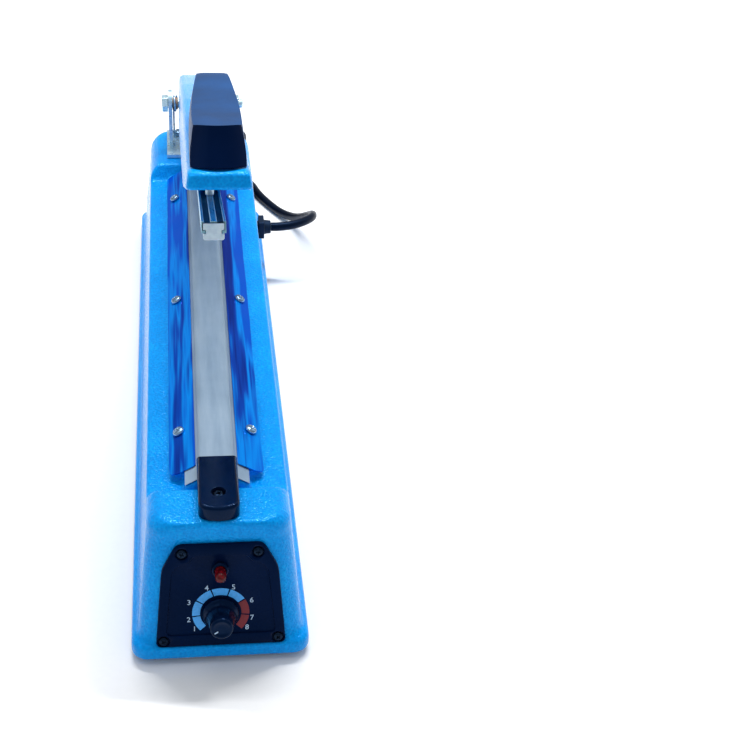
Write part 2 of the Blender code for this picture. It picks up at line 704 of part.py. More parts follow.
def guard_corner(side, x, y, lift):
    """A point on a guard at distance x from the centre line, lift above its underside."""
    (inner_x, inner_z), (outer_x, outer_z) = GUARD_INNER, GUARD_OUTER
    share = (x - inner_x) / (outer_x - inner_x)
    slope = math.atan2(outer_z - inner_z, outer_x - inner_x)
    height = inner_z + share * (outer_z - inner_z) + (lift - GUARD_THICK) * math.cos(slope)
    return (side * (x - (lift - GUARD_THICK) * math.sin(slope)), y, height)


def make_guards():
    for side, name in ((-1.0, "guard_left"), (1.0, "guard_right")):
        inner_x = GUARD_INNER[0]
        outer_x = GUARD_OUTER[0]
        radius = 4.0
        outline = [(inner_x, GUARD_FRONT_Y), (outer_x - radius, GUARD_FRONT_Y)]
        corners = ((GUARD_FRONT_Y + radius, -90.0, 1), (GUARD_REAR_Y - radius, 0.0, 0))
        for corner_y, start, first in corners:
            for step in range(first, 5):
                angle = math.radians(start + 90.0 * step / 4)
                x = outer_x - radius + radius * math.cos(angle)
                outline.append((x, corner_y + radius * math.sin(angle)))
        outline.append((inner_x, GUARD_REAR_Y))
        rings = [[guard_corner(side, x, y, lift) for x, y in outline] for lift in (0.0, GUARD_THICK)]
        guard_mesh = new_mesh()
        add_loft(guard_mesh, rings)
        guard = add_solid(name, guard_mesh, GUARD_FINISH)
        holes = new_mesh()
        for y in GUARD_SCREW_Y:
            add_lathe(holes, ((1.9, 60.0), (1.9, 90.0)), (side * GUARD_SCREW_X, y, 0.0), sides=12)
        add_boolean(guard, holes)


def make_guard_screws():
    """Pan-head screws square to each guard, three a side."""
    (inner_x, inner_z), (outer_x, outer_z) = GUARD_INNER, GUARD_OUTER
    number = 0
    for side in (-1.0, 1.0):
        seat_z = inner_z + (GUARD_SCREW_X - inner_x) / (outer_x - inner_x) * (outer_z - inner_z)
        for y in GUARD_SCREW_Y:
            number += 1
            screw = new_mesh()
            profile = (
                (1.5, DECK_Z - 2.4), (1.5, seat_z + 1.7), (3.1, seat_z + 2.1),
                (3.1, seat_z + 3.0), (2.2, seat_z + 3.9), (0.9, seat_z + 4.2),
            )
            add_lathe(screw, profile, (side * GUARD_SCREW_X, y, 0.0), sides=16)
            add_solid(f"guard_screw_{number}", screw, ZINC)


def cover_outline(square_end, round_end, steps=10):
    """A plan outline with a straight end and a bowed end, counter-clockwise."""
    direction = 1.0 if round_end > square_end else -1.0
    corner = 5.0
    bow = 3.2
    shoulder = round_end - direction * (corner + bow)
    points = [(-COVER_HALF, square_end), (COVER_HALF, square_end)]
    for step in range(steps + 1):
        angle = math.pi * step / steps
        across = COVER_HALF * math.cos(angle)
        reach = (corner + bow) * math.sin(angle) ** 0.55
        points.append((across, shoulder + direction * reach))
    return points if direction > 0 else list(reversed(points))


def make_end_cover(end, square_end, round_end, seat_z, rail_end, cloth_end):
    """Black cap over one end of the platform, with its screw in a counterbore."""
    toward = math.copysign(1.0, round_end - square_end)
    screw_y = rail_end + toward * COVER_SCREW_INSET
    length = abs(round_end - square_end)
    centre_y = 0.5 * (square_end + round_end)
    outline = cover_outline(square_end, round_end)
    crown = [(0.93 * x, centre_y + (y - centre_y) * (1.0 - 1.2 / length)) for x, y in outline]
    cover_mesh = new_mesh()
    add_loft(cover_mesh, [
        [(x, y, seat_z) for x, y in outline],
        [(x, y, COVER_Z - 0.8) for x, y in outline],
        [(x, y, COVER_Z) for x, y in crown],
    ])
    cover = add_solid(f"{end}_end_cover", cover_mesh, BLACK_PLASTIC)
    mouth = square_end - toward * 3.0
    for half_width, inner_end, roof in (
        (COVER_HALF - 0.8, rail_end + toward * 0.6, PLATFORM_Z + GAP),
        (COVER_HALF + 3.0, cloth_end + toward * 0.6, GUARD_INNER[1] + GAP),
    ):
        tunnel = new_mesh()
        low_y, high_y = sorted((mouth, inner_end))
        add_box(tunnel, (-half_width, low_y, 60.0), (half_width, high_y, roof))
        add_boolean(cover, tunnel)
    bore = new_mesh()
    seat = COVER_Z - 3.0
    add_lathe(bore, ((1.9, 60.0), (1.9, seat), (3.2, seat), (3.2, 95.0)), (0.0, screw_y, 0.0), sides=16)
    add_boolean(cover, bore)
    screw = new_mesh()
    pan_screw(screw, (0.0, screw_y, seat + GAP), (0.0, 0.0, 1.0), 2.8, 1.9, 1.5, 9.5)
    add_solid(f"{end}_cover_screw", screw, BLACK_PLASTIC)


def make_end_covers():
    make_end_cover("front", -168.9, -208.1, FRONT_BLOCK_Z + GAP, RAIL_FRONT_Y, CLOTH_FRONT_Y)
    make_end_cover("rear", 143.6, 166.6, REAR_BLOCK_Z + GAP, RAIL_REAR_Y, GUARD_REAR_Y)


# ---------------------------------------------------------------- hinge

def make_hinge_bracket():
    """U bracket: a foot on the rear block and two upright cheeks."""
    foot_z = REAR_BLOCK_Z + GAP
    cheek = [(180.5, foot_z), (206.0, foot_z), (206.0, 92.0), (196.5, 112.0)]
    for step in range(7):
        angle = math.radians(40.0 + 140.0 * step / 6)
        cheek.append((HINGE_Y + 0.2 + 7.6 * math.cos(angle), BRACKET_TOP - 7.6 + 7.6 * math.sin(angle)))
    bracket_mesh = new_mesh()
    add_box(bracket_mesh, (-22.4, 168.4, foot_z), (22.4, 208.0, foot_z + BRACKET_PLATE))
    bracket = add_solid("hinge_bracket", bracket_mesh, ZINC)
    cheeks = new_mesh()
    for side in (-1.0, 1.0):
        x_low, x_high = sorted((side * (BRACKET_HALF - BRACKET_PLATE), side * BRACKET_HALF))
        add_prism_along_x(cheeks, cheek, x_low, x_high)
    add_boolean(bracket, cheeks, "UNION")
    holes = hinge_bore()
    for x, y in BRACKET_SCREWS:
        add_lathe(holes, ((2.5, 60.0), (2.5, 90.0)), (x, y, 0.0), sides=12)
    add_lathe(holes, ((3.2, 60.0), (3.2, 90.0)), (0.0, PLUNGER_Y, 0.0), sides=16)
    add_boolean(bracket, holes)


def make_bracket_screws():
    for number, (x, y) in enumerate(BRACKET_SCREWS, start=1):
        screw = new_mesh()
        seat_z = REAR_BLOCK_Z + BRACKET_PLATE + 2.0 * GAP
        profile = (
            (2.0, DECK_Z + 1.4), (2.0, seat_z), (3.9, seat_z), (3.9, seat_z + 2.6), (3.3, seat_z + 3.0),
        )
        add_lathe(screw, profile, (x, y, 0.0), sides=6)
        add_solid(f"bracket_screw_{number}", screw, ZINC)


def make_hinge_bolt():
    """Hexagon bolt with its head on the left cheek and a nut on the right."""
    hinge = (0.0, HINGE_Y, HINGE_Z)
    across = (1.0, 0.0, 0.0)
    head_x = -BRACKET_HALF - GAP
    nut_x = BRACKET_HALF + GAP
    shank = ((HINGE_BOLT_RADIUS, head_x - 1.0), (HINGE_BOLT_RADIUS, nut_x + 7.0), (2.4, nut_x + 7.6))
    bolt = new_mesh()
    add_lathe(bolt, shank, hinge, across, sides=24)
    hinge_bolt = add_solid("hinge_bolt", bolt, ZINC)
    head = new_mesh()
    add_lathe(head, ((5.2, head_x - 4.0), (5.7, head_x - 3.5), (5.7, head_x)), hinge, across, sides=6)
    add_boolean(hinge_bolt, head, "UNION")
    nut = new_mesh()
    add_lathe(nut, ((5.7, nut_x), (5.7, nut_x + 5.0)), hinge, across, sides=6)
    hinge_nut = add_solid("hinge_nut", nut, ZINC)
    add_boolean(hinge_nut, hinge_bore())
    washer = new_mesh()
    add_lathe(washer, ((6.5, 17.0), (6.5, BRACKET_HALF - BRACKET_PLATE - GAP)), hinge, across, sides=24)
    hinge_washer = add_solid("hinge_washer", washer, ZINC)
    add_boolean(hinge_washer, hinge_bore())


def hinge_bore():
    bore = new_mesh()
    radius = HINGE_BOLT_RADIUS + GAP
    add_lathe(bore, ((radius, -40.0), (radius, 40.0)), (0.0, HINGE_Y, HINGE_Z), (1.0, 0.0, 0.0), sides=20)
    return bore


def spring_path():
    """One leg up from the bracket's foot, then the coil from the cheek toward the arm."""
    behind = HINGE_Y + SPRING_COIL_RADIUS
    path = [Vector((SPRING_X, behind, SPRING_LEG_FOOT)), Vector((SPRING_X, behind, HINGE_Z))]
    steps = round(16 * SPRING_TURNS)
    for step in range(1, steps + 1):
        turned = SPRING_TURNS * step / steps
        angle = math.tau * turned
        path.append(Vector((
            SPRING_X + SPRING_PITCH * turned,
            HINGE_Y + SPRING_COIL_RADIUS * math.cos(angle),
            HINGE_Z + SPRING_COIL_RADIUS * math.sin(angle),
        )))
    return path


def make_return_spring():
    """Torsion spring round the bolt, with its one leg down to the bracket's foot."""
    path = spring_path()
    across = Vector((1.0, 0.0, 0.0))
    rings = []
    for index, point in enumerate(path):
        along = (path[min(index + 1, len(path) - 1)] - path[max(index - 1, 0)]).normalized()
        side = (across - along * along.x).normalized()
        other = along.cross(side)
        ring = []
        for step in range(8):
            angle = math.tau * step / 8
            ring.append(point + SPRING_WIRE_RADIUS * (side * math.cos(angle) + other * math.sin(angle)))
        rings.append(ring)
    spring = new_mesh()
    add_loft(spring, rings)
    add_solid("return_spring", spring, ZINC)


# ---------------------------------------------------------------- press arm

def arm_point(x, forward, up):
    """A point of the closed arm, before it is swung up."""
    return (x, HINGE_Y - forward, HINGE_Z + up)


def swing_up(mesh_data):
    hinge = Vector((0.0, HINGE_Y, HINGE_Z))
    turn = Matrix.Translation(hinge) @ Matrix.Rotation(-ARM_RAISED, 4, "X") @ Matrix.Translation(-hinge)
    bmesh.ops.transform(mesh_data, matrix=turn, verts=mesh_data.verts)
    return mesh_data


def add_arm_solid(name, mesh_data, finish, arm_pivot):
    return add_solid(name, swing_up(mesh_data), finish, (0.0, HINGE_Y, HINGE_Z), arm_pivot)


def arm_centre(forward):
    """The casting leans a little to the right toward its nose."""
    return 1.2 + 1.5 * max(forward, 0.0) / NOSE_R


def arm_section(forward, low, high, foot_half, top_half, radius):
    """A rounded section across the arm, wider at its foot."""
    points = []
    corners = (
        (foot_half - 1.2, low + 1.2, 1.2, -90.0), (top_half - radius, high - radius, radius, 0.0),
        (radius - top_half, high - radius, radius, 90.0), (1.2 - foot_half, low + 1.2, 1.2, 180.0),
    )
    for centre_x, centre_o, corner_radius, start in corners:
        for step in range(4):
            angle = math.radians(start + 30.0 * step)
            x = arm_centre(forward) + centre_x + corner_radius * math.cos(angle)
            points.append(arm_point(x, forward, centre_o + corner_radius * math.sin(angle)))
    return points


ARM_SECTIONS = (
    # forward, low, high, foot half width, top half width, top radius
    (-12.0, -9.0, 11.0, 15.5, 14.6, 3.0),
    (-9.0, -13.5, 16.5, 15.5, 14.6, 3.0),
    (-3.0, -15.0, 18.6, 15.5, 14.6, 3.0),
    (14.0, -15.0, 19.2, 15.5, 14.6, 3.0),
    (34.0, -15.0, 19.6, 15.5, 14.6, 3.0),
    (40.0, -19.6, 19.8, 15.5, 14.6, 3.0),
    (100.0, -19.6, 20.2, 15.5, 14.6, 3.0),
    (180.0, -19.6, 18.4, 15.4, 14.5, 3.0),
    (240.0, -19.6, 14.6, 15.3, 14.4, 3.0),
    (262.0, -18.6, 13.0, 15.2, 14.3, 3.0),
    (300.0, -13.4, 8.6, 15.1, 14.2, 3.0),
    (335.0, -8.4, 4.3, 15.0, 14.2, 3.0),
    (352.0, -6.3, 2.7, 14.9, 14.2, 2.2),
    (355.6, -5.8, 2.1, 14.5, 13.8, 2.2),
    (NOSE_R, -4.6, 0.8, 13.4, 13.0, 1.8),
)


def arm_top(forward):
    """Height of the casting's top at a distance forward of the hinge."""
    for (r_low, _, top_low, *_), (r_high, _, top_high, *_) in zip(ARM_SECTIONS, ARM_SECTIONS[1:]):
        if r_low <= forward <= r_high:
            return top_low + (top_high - top_low) * (forward - r_low) / (r_high - r_low)
    return ARM_SECTIONS[-1][2]


BAR_BOLT_R = (80.0, 276.0)
HANDLE_SCREW_R = 300.0
HANDLE_SCREW_SEAT = -5.0


def make_arm_casting(arm_pivot):
    casting_mesh = new_mesh()
    add_loft(casting_mesh, [arm_section(*section) for section in ARM_SECTIONS])
    casting = add_arm_solid("arm_casting", casting_mesh, BLUE_PAINT, arm_pivot)
    pockets = new_mesh()
    for r_rear, r_front in ((44.0, 70.0), (90.0, 258.0)):
        outline = [(HINGE_Y - r_rear, HINGE_Z - 24.0), (HINGE_Y - r_front, HINGE_Z - 24.0)]
        for forward in (r_front, 0.5 * (r_rear + r_front), r_rear):
            outline.append((HINGE_Y - forward, HINGE_Z + arm_top(forward) - 3.2))
        add_prism_along_x(pockets, outline, arm_centre(r_front) - 12.4, arm_centre(r_rear) + 12.4)
    for forward in BAR_BOLT_R:
        add_lathe(pockets, ((2.3, -40.0), (2.3, -2.0)), arm_point(0.0, forward, 0.0), sides=12)
    stepped = ((3.3, -30.0), (3.3, HANDLE_SCREW_SEAT), (1.9, HANDLE_SCREW_SEAT), (1.9, 40.0))
    add_lathe(pockets, stepped, arm_point(HANDLE_X, HANDLE_SCREW_R, 0.0), sides=16)
    add_boolean(casting, swing_up(pockets))
    add_boolean(casting, hinge_bore())


HANDLE_SECTIONS = (
    # forward at the foot, forward at the top, height, foot half width, top half width, bow
    (355.5, 347.5, 21.2, 12.4, 10.5, 6.0),
    (341.0, 339.0, 22.4, 12.5, 10.9, 4.0),
    (320.0, 320.0, 25.0, 12.5, 11.0, 2.0),
    (300.0, 300.0, 28.6, 12.3, 10.5, 0.0),
    (275.0, 275.0, 33.6, 11.8, 9.2, 0.0),
    (257.0, 257.0, 36.9, 11.2, 8.0, 0.0),
    (243.0, 244.0, 36.4, 10.6, 7.2, 0.0),
    (231.0, 234.0, 31.0, 9.6, 6.2, 0.0),
    (222.0, 226.0, 21.0, 8.6, 5.4, 0.0),
)


def handle_grid(foot_forward, top_forward, high, foot_half, top_half, bow):
    """A section of the handle cap as rows of points; the front ones bow forward and lean back."""
    low = arm_top(foot_forward - bow) + GAP + 0.3
    rows = []
    levels = (
        (foot_half, 0.0), (foot_half - 0.1, 0.35), (top_half + 0.35, 0.92),
        (top_half - 0.5, 0.985), (0.55 * top_half, 1.0),
    )
    for half_width, share in levels:
        row = []
        for column in (-1.0, -0.67, -0.33, 0.0, 0.33, 0.67, 1.0):
            x = column * half_width
            bowed = bow * (1.0 + 0.4 * share) * (x / foot_half) ** 2
            forward = foot_forward + share * (top_forward - foot_forward) - bowed
            row.append(arm_point(HANDLE_X + x, forward, low + share * (high - low)))
        rows.append(row)
    return rows


def add_grid_loft(mesh_data, grids):
    """Skin equal grids by their outer edges and close both ends with the whole grid."""
    row_count = len(grids[0])
    column_count = len(grids[0][0])
    edge = [(0, column) for column in range(column_count)]
    edge += [(row, column_count - 1) for row in range(1, row_count)]
    edge += [(row_count - 1, column) for column in range(column_count - 2, -1, -1)]
    edge += [(row, 0) for row in range(row_count - 2, 0, -1)]
    built = []
    for number, grid in enumerate(grids):
        places = edge
        if number in (0, len(grids) - 1):
            places = [(row, column) for row in range(row_count) for column in range(column_count)]
        built.append({place: mesh_data.verts.new(grid[place[0]][place[1]]) for place in places})
    for lower, upper in zip(built, built[1:]):
        for here, there in zip(edge, edge[1:] + edge[:1]):
            mesh_data.faces.new((lower[here], lower[there], upper[there], upper[here]))
    for end in (built[0], built[-1]):
        for row in range(row_count - 1):
            for column in range(column_count - 1):
                corners = ((row, column), (row, column + 1), (row + 1, column + 1), (row + 1, column))
                mesh_data.faces.new([end[corner] for corner in corners])


def make_handle_cap(arm_pivot):
    cap = new_mesh()
    add_grid_loft(cap, [handle_grid(*section) for section in HANDLE_SECTIONS])
    handle_cap = add_arm_solid("handle_cap", cap, BLACK_PLASTIC, arm_pivot)
    hole = new_mesh()
    add_lathe(hole, ((1.9, 0.0), (1.9, 20.0)), arm_point(HANDLE_X, HANDLE_SCREW_R, 0.0), sides=12)
    add_boolean(handle_cap, swing_up(hole))
    screw = new_mesh()
    seat = arm_point(HANDLE_X, HANDLE_SCREW_R, HANDLE_SCREW_SEAT - GAP)
    pan_screw(screw, seat, (0.0, 0.0, -1.0), 2.9, 2.0, 1.5, 24.0)
    add_arm_solid("handle_screw", screw, ZINC, arm_pivot)


def make_press_bar(arm_pivot):
    """Aluminium channel whose lips hold the silicone strip."""
    foot = SILICONE_FOOT
    lip_low = foot + 3.1
    lip_high = foot + 4.3
    inner_top = foot + 7.8
    groove = BAR_TOP - 0.5
    right = (
        (3.7, lip_low), (5.5, lip_low), (5.5, BAR_TOP), (4.7, BAR_TOP),
        (4.3, groove), (1.5, groove), (1.2, BAR_TOP),
    )
    right_inside = ((5.0, inner_top), (5.0, lip_high), (3.7, lip_high))
    left = [(-x, up) for x, up in reversed(right)]
    left_inside = [(-x, up) for x, up in reversed(right_inside)]
    outline = [*right, *left, *left_inside, *right_inside]
    bar = new_mesh()
    ends = (BAR_REAR_R, BAR_FRONT_R)
    add_loft(bar, [[arm_point(x, forward, up) for x, up in outline] for forward in ends])
    add_arm_solid("press_bar", bar, ALUMINIUM, arm_pivot)
    right = (
        (4.1, foot), (4.7, foot + 0.6), (4.7, foot + 2.8), (3.4, foot + 2.9),
        (3.4, foot + 4.5), (4.7, foot + 4.6), (4.7, foot + 7.5),
    )
    silicone_outline = [*right, *[(-x, up) for x, up in reversed(right)]]
    strip = new_mesh()
    ends = (BAR_REAR_R + 0.5, BAR_FRONT_R + 0.4)
    add_loft(strip, [[arm_point(x, forward, up) for x, up in silicone_outline] for forward in ends])
    add_arm_solid("silicone_strip", strip, WHITE_SILICONE, arm_pivot)


def make_bar_bolts(arm_pivot):
    """Studs that carry the press bar under the casting."""
    for number, forward in enumerate(BAR_BOLT_R, start=1):
        bolt = new_mesh()
        add_lathe(bolt, ((2.0, BAR_TOP + GAP), (2.0, -3.0)), arm_point(0.0, forward, 0.0), sides=12)
        add_arm_solid(f"bar_bolt_{number}", bolt, ZINC, arm_pivot)


# ---------------------------------------------------------------- cord

def make_cable_gland():
    """Square-headed strain relief in the right wall."""
    gland = new_mesh()
    wall_x = wall_half_width(GLAND_Z)
    across = (1.0, 0.0, 0.0)
    outline = [(x + GLAND_Y, z + GLAND_Z) for x, z in rounded_outline(6.2, -6.2, 6.2, 1.5)]
    add_loft(gland, [[(x, y, z) for y, z in outline] for x in (wall_x + 0.9, wall_x + 4.6)])
    cable_gland = add_solid("cable_gland", gland, BLACK_PLASTIC)
    stem = new_mesh()
    stem_end = CORD_ROUTE[0][0] - GAP
    profile = ((4.1, wall_x - 9.0), (4.1, wall_x + 3.0), (5.0, wall_x + 4.0), (4.4, stem_end))
    add_lathe(stem, profile, (0.0, GLAND_Y, GLAND_Z), across, sides=20)
    add_boolean(cable_gland, stem, "UNION")


def smooth_route(points, spacing):
    """Even points along a Catmull-Rom curve through the route's own points."""
    knots = [Vector(point) for point in points]
    fine = []
    for index in range(len(knots) - 1):
        before = knots[max(index - 1, 0)]
        start = knots[index]
        end = knots[index + 1]
        after = knots[min(index + 2, len(knots) - 1)]
        for step in range(20):
            t = step / 20.0
            fine.append(0.5 * (
                2.0 * start + (end - before) * t
                + (2.0 * before - 5.0 * start + 4.0 * end - after) * t ** 2
                + (3.0 * start - before - 3.0 * end + after) * t ** 3
            ))
    fine.append(knots[-1])
    lengths = [0.0]
    for here, there in zip(fine, fine[1:]):
        lengths.append(lengths[-1] + (there - here).length)
    count = round(lengths[-1] / spacing)
    even = []
    cursor = 0
    for step in range(count + 1):
        target = lengths[-1] * step / count
        while cursor < len(lengths) - 2 and lengths[cursor + 1] < target:
            cursor += 1
        share = (target - lengths[cursor]) / (lengths[cursor + 1] - lengths[cursor])
        even.append(fine[cursor].lerp(fine[cursor + 1], min(share, 1.0)))
    return even


def make_mains_cord():
    points = [Vector(CORD_ROUTE[0]), *smooth_route(CORD_ROUTE[1:], 2.2 * CORD_DIAMETER)]
    curve = bpy.data.curves.new("mains_cord", "CURVE")
    curve.dimensions = "3D"
    curve.bevel_depth = 0.5 * CORD_DIAMETER * MM
    curve.bevel_resolution = 2
    curve.use_fill_caps = True
    spline = curve.splines.new("POLY")
    spline.points.add(len(points) - 1)
    for spline_point, point in zip(spline.points, points):
        spline_point.co = (*((point + CENTRING) * MM), 1.0)
    curve.materials.append(get_material(CORD_PVC))
    cord = bpy.data.objects.new("mains_cord", curve)
    bpy.context.scene.collection.objects.link(cord)


def make_cord_coil():
    """Solid of the stowed cord: two turns wide and three high."""
    inner = COIL_MEAN_RADIUS - CORD_DIAMETER
    outer = COIL_MEAN_RADIUS + CORD_DIAMETER
    top = COIL_LAYERS * CORD_DIAMETER
    edge = 0.35 * CORD_DIAMETER
    outline = (
        (outer - edge, 0.2), (outer, edge), (outer, top - edge), (outer - edge, top),
        (inner + edge, top), (inner, top - edge), (inner, edge), (inner + edge, 0.2),
    )
    coil = new_mesh()
    add_ring(coil, outline, (*COIL_CENTRE, 0.0), sides=36)
    add_solid("cord_coil", coil, CORD_PVC)


PLUG_STATIONS = (
    # along the plug from the middle of its body, half width, half height
    (-29.0, 3.9, 3.9),
    (-15.0, 5.0, 5.0),
    (-12.0, 11.0, 7.2),
    (-6.0, 13.5, PLUG_HALF_HEIGHT),
    (18.0, 14.5, PLUG_HALF_HEIGHT),
    (20.0, 13.5, 7.0),
)


def plug_ring(along, half_width, half_tall):
    """A squared oval across the plug."""
    centre_x, centre_y = PLUG_CENTRE
    ring = []
    for step in range(20):
        angle = math.tau * step / 20
        x = math.copysign(abs(math.cos(angle)) ** 0.6, math.cos(angle)) * half_width
        z = math.copysign(abs(math.sin(angle)) ** 0.6, math.sin(angle)) * half_tall
        ring.append((centre_x + x, centre_y + along, PLUG_AXIS_Z + z))
    return ring


def make_mains_plug():
    """Moulded plug lying on the coil, pins toward the rear."""
    centre_x, centre_y = PLUG_CENTRE
    plug_mesh = new_mesh()
    add_loft(plug_mesh, [plug_ring(*station) for station in PLUG_STATIONS])
    plug = add_solid("mains_plug", plug_mesh, BLACK_PLASTIC)
    pins = new_mesh()
    for side in (-1.0, 1.0):
        profile = ((PLUG_PIN_RADIUS, 10.0), (PLUG_PIN_RADIUS, 37.0), (1.4, 39.0))
        pin_foot = (centre_x + side * PLUG_PIN_X, centre_y, PLUG_AXIS_Z)
        add_lathe(pins, profile, pin_foot, (0.0, 1.0, 0.0), sides=12)
    add_boolean(plug, pins, "UNION")


# ---------------------------------------------------------------- assembly

def add_pivot(name, place):
    pivot = bpy.data.objects.new(name, None)
    pivot.location = (Vector(place) + CENTRING) * MM
    bpy.context.scene.collection.objects.link(pivot)
    return pivot


def build():
    clear_scene()
    knob_pivot = add_pivot("knob_pivot", panel_point(0.0, DIAL_T))
    arm_pivot = add_pivot("arm_pivot", (0.0, HINGE_Y, HINGE_Z))
    make_base_shell()
    make_bottom_plate()
    make_feet()
    make_plate_screws()
    make_control_panel()
    make_panel_screws()
    make_pilot_lamp()
    make_timer_dial(knob_pivot)
    make_timer_board()
    make_transformer()
    make_micro_switch()
    make_switch_plunger()
    make_platform()
    make_ptfe_cloth()
    make_guards()
    make_guard_screws()
    make_end_covers()
    make_hinge_bracket()
    make_bracket_screws()
    make_hinge_bolt()
    make_return_spring()
    make_arm_casting(arm_pivot)
    make_handle_cap(arm_pivot)
    make_press_bar(arm_pivot)
    make_bar_bolts(arm_pivot)
    make_cable_gland()
    make_mains_cord()
    make_cord_coil()
    make_mains_plug()


build()
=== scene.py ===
"""Impulse heat sealer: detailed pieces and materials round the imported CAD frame."""
import json
import math

import bmesh
import bpy
from mathutils import Matrix, Vector


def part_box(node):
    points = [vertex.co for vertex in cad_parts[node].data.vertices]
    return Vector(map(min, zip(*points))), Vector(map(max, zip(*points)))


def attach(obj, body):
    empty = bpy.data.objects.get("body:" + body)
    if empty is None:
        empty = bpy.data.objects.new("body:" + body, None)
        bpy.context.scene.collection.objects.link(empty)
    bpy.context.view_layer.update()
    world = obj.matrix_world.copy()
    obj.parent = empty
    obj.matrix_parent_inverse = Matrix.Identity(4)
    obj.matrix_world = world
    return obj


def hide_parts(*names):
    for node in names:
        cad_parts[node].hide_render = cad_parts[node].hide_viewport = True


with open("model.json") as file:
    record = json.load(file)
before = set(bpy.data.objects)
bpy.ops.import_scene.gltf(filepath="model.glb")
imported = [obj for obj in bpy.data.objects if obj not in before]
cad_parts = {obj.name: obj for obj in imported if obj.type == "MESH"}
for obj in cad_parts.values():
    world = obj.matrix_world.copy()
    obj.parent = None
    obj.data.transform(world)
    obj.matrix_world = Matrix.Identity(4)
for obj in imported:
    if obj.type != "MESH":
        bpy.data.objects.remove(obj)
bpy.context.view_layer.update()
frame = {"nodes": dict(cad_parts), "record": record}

MM = 0.001
JOINTS = {joint["name"]: joint for joint in frame["record"]["behaviour"]["joints"]}
HINGE = Vector(JOINTS["arm_hinge"]["pos_m"]) / MM
ARM_RAISED = math.radians(JOINTS["arm_hinge"]["range_deg"][1])
DIAL = Vector(JOINTS["timer_dial"]["pos_m"]) / MM
PANEL_INWARD = Vector(JOINTS["timer_dial"]["axis"])


def box(node):
    """Lowest and highest corners of a CAD node, in millimetres."""
    low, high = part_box(node)
    return Vector(low) / MM, Vector(high) / MM


def middle(node):
    low, high = box(node)
    return 0.5 * (low + high)


# ---------------------------------------------------------------- meshes

def to_mesh(name, mesh_data, smooth_below=40.0):
    """Turn millimetre geometry into a mesh in metres, smooth where faces meet gently."""
    bmesh.ops.remove_doubles(mesh_data, verts=mesh_data.verts, dist=1e-5)
    bmesh.ops.recalc_face_normals(mesh_data, faces=mesh_data.faces)
    limit = math.radians(smooth_below)
    for face in mesh_data.faces:
        face.smooth = True
    for edge in mesh_data.edges:
        edge.smooth = len(edge.link_faces) == 2 and edge.calc_face_angle(0.0) < limit
    bmesh.ops.scale(mesh_data, vec=(MM, MM, MM), verts=mesh_data.verts)
    mesh = bpy.data.meshes.new(name)
    mesh_data.to_mesh(mesh)
    mesh_data.free()
    return mesh


def add_object(name, data, material, body, stands_for=()):
    piece = bpy.data.objects.new(name, data)
    bpy.context.scene.collection.objects.link(piece)
    data.materials.append(material)
    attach(piece, body)
    if stands_for:
        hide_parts(*stands_for)
    return piece


def add_piece(name, mesh_data, material, body, stands_for=(), smooth_below=40.0):
    return add_object(name, to_mesh(name, mesh_data, smooth_below), material, body, stands_for)


def settle(piece):
    """Apply a piece's modifiers."""
    depsgraph = bpy.context.evaluated_depsgraph_get()
    mesh = bpy.data.meshes.new_from_object(piece.evaluated_get(depsgraph))
    piece.modifiers.clear()
    piece.data = mesh
    return piece


def copy_node(name, node, material, body):
    """A new piece with a CAD node's shape, its flat areas joined into single faces."""
    mesh_data = bmesh.new()
    mesh_data.from_mesh(frame["nodes"][node].data)
    bmesh.ops.remove_doubles(mesh_data, verts=mesh_data.verts, dist=1e-6)
    flat = math.radians(0.4)
    bmesh.ops.dissolve_limit(mesh_data, angle_limit=flat, verts=mesh_data.verts, edges=mesh_data.edges)
    for face in mesh_data.faces:
        face.smooth = True
    mesh = bpy.data.meshes.new(name)
    mesh_data.to_mesh(mesh)
    mesh_data.free()
    return add_object(name, mesh, material, body, (node,))


def cast_piece(name, node, material, body, voxel, rounds):
    """A CAD node's shape with the soft edges of a sand casting under paint."""
    piece = copy_node(name, node, material, body)
    remesh = piece.modifiers.new("remesh", "REMESH")
    remesh.mode = "VOXEL"
    remesh.voxel_size = voxel * MM
    remesh.use_smooth_shade = True
    smooth = piece.modifiers.new("smooth", "SMOOTH")
    smooth.factor = 0.5
    smooth.iterations = rounds
    return settle(piece)


def break_edges(piece, width, angle, outer_corners="MITER_SHARP"):
    """Round the edges that are sharper than an angle in degrees; settled by its caller."""
    bevel = piece.modifiers.new("bevel", "BEVEL")
    bevel.width = width * MM
    bevel.segments = 3
    bevel.limit_method = "ANGLE"
    bevel.angle_limit = math.radians(angle)
    bevel.miter_outer = outer_corners


def flatten_shading(piece):
    """Shade large faces flat, with the turn kept to the small faces round them."""
    normals = piece.modifiers.new("normals", "WEIGHTED_NORMAL")
    normals.keep_sharp = False
    return settle(piece)


def bevelled_piece(name, node, material, body, width):
    """A CAD node's shape with its sharp edges broken."""
    piece = copy_node(name, node, material, body)
    break_edges(piece, width, 28.0, "MITER_ARC")
    return flatten_shading(piece)


def thicken(piece, thickness):
    """Give a sheet its thickness, half to each side."""
    solidify = piece.modifiers.new("thickness", "SOLIDIFY")
    solidify.thickness = thickness * MM
    solidify.offset = 0.0
    return settle(piece)


def fill_grid(mesh_data, rows):
    """Faces between rows of points."""
    built = [[mesh_data.verts.new(point) for point in row] for row in rows]
    for near, far in zip(built, built[1:]):
        for index in range(len(near) - 1):
            mesh_data.faces.new((near[index], near[index + 1], far[index + 1], far[index]))


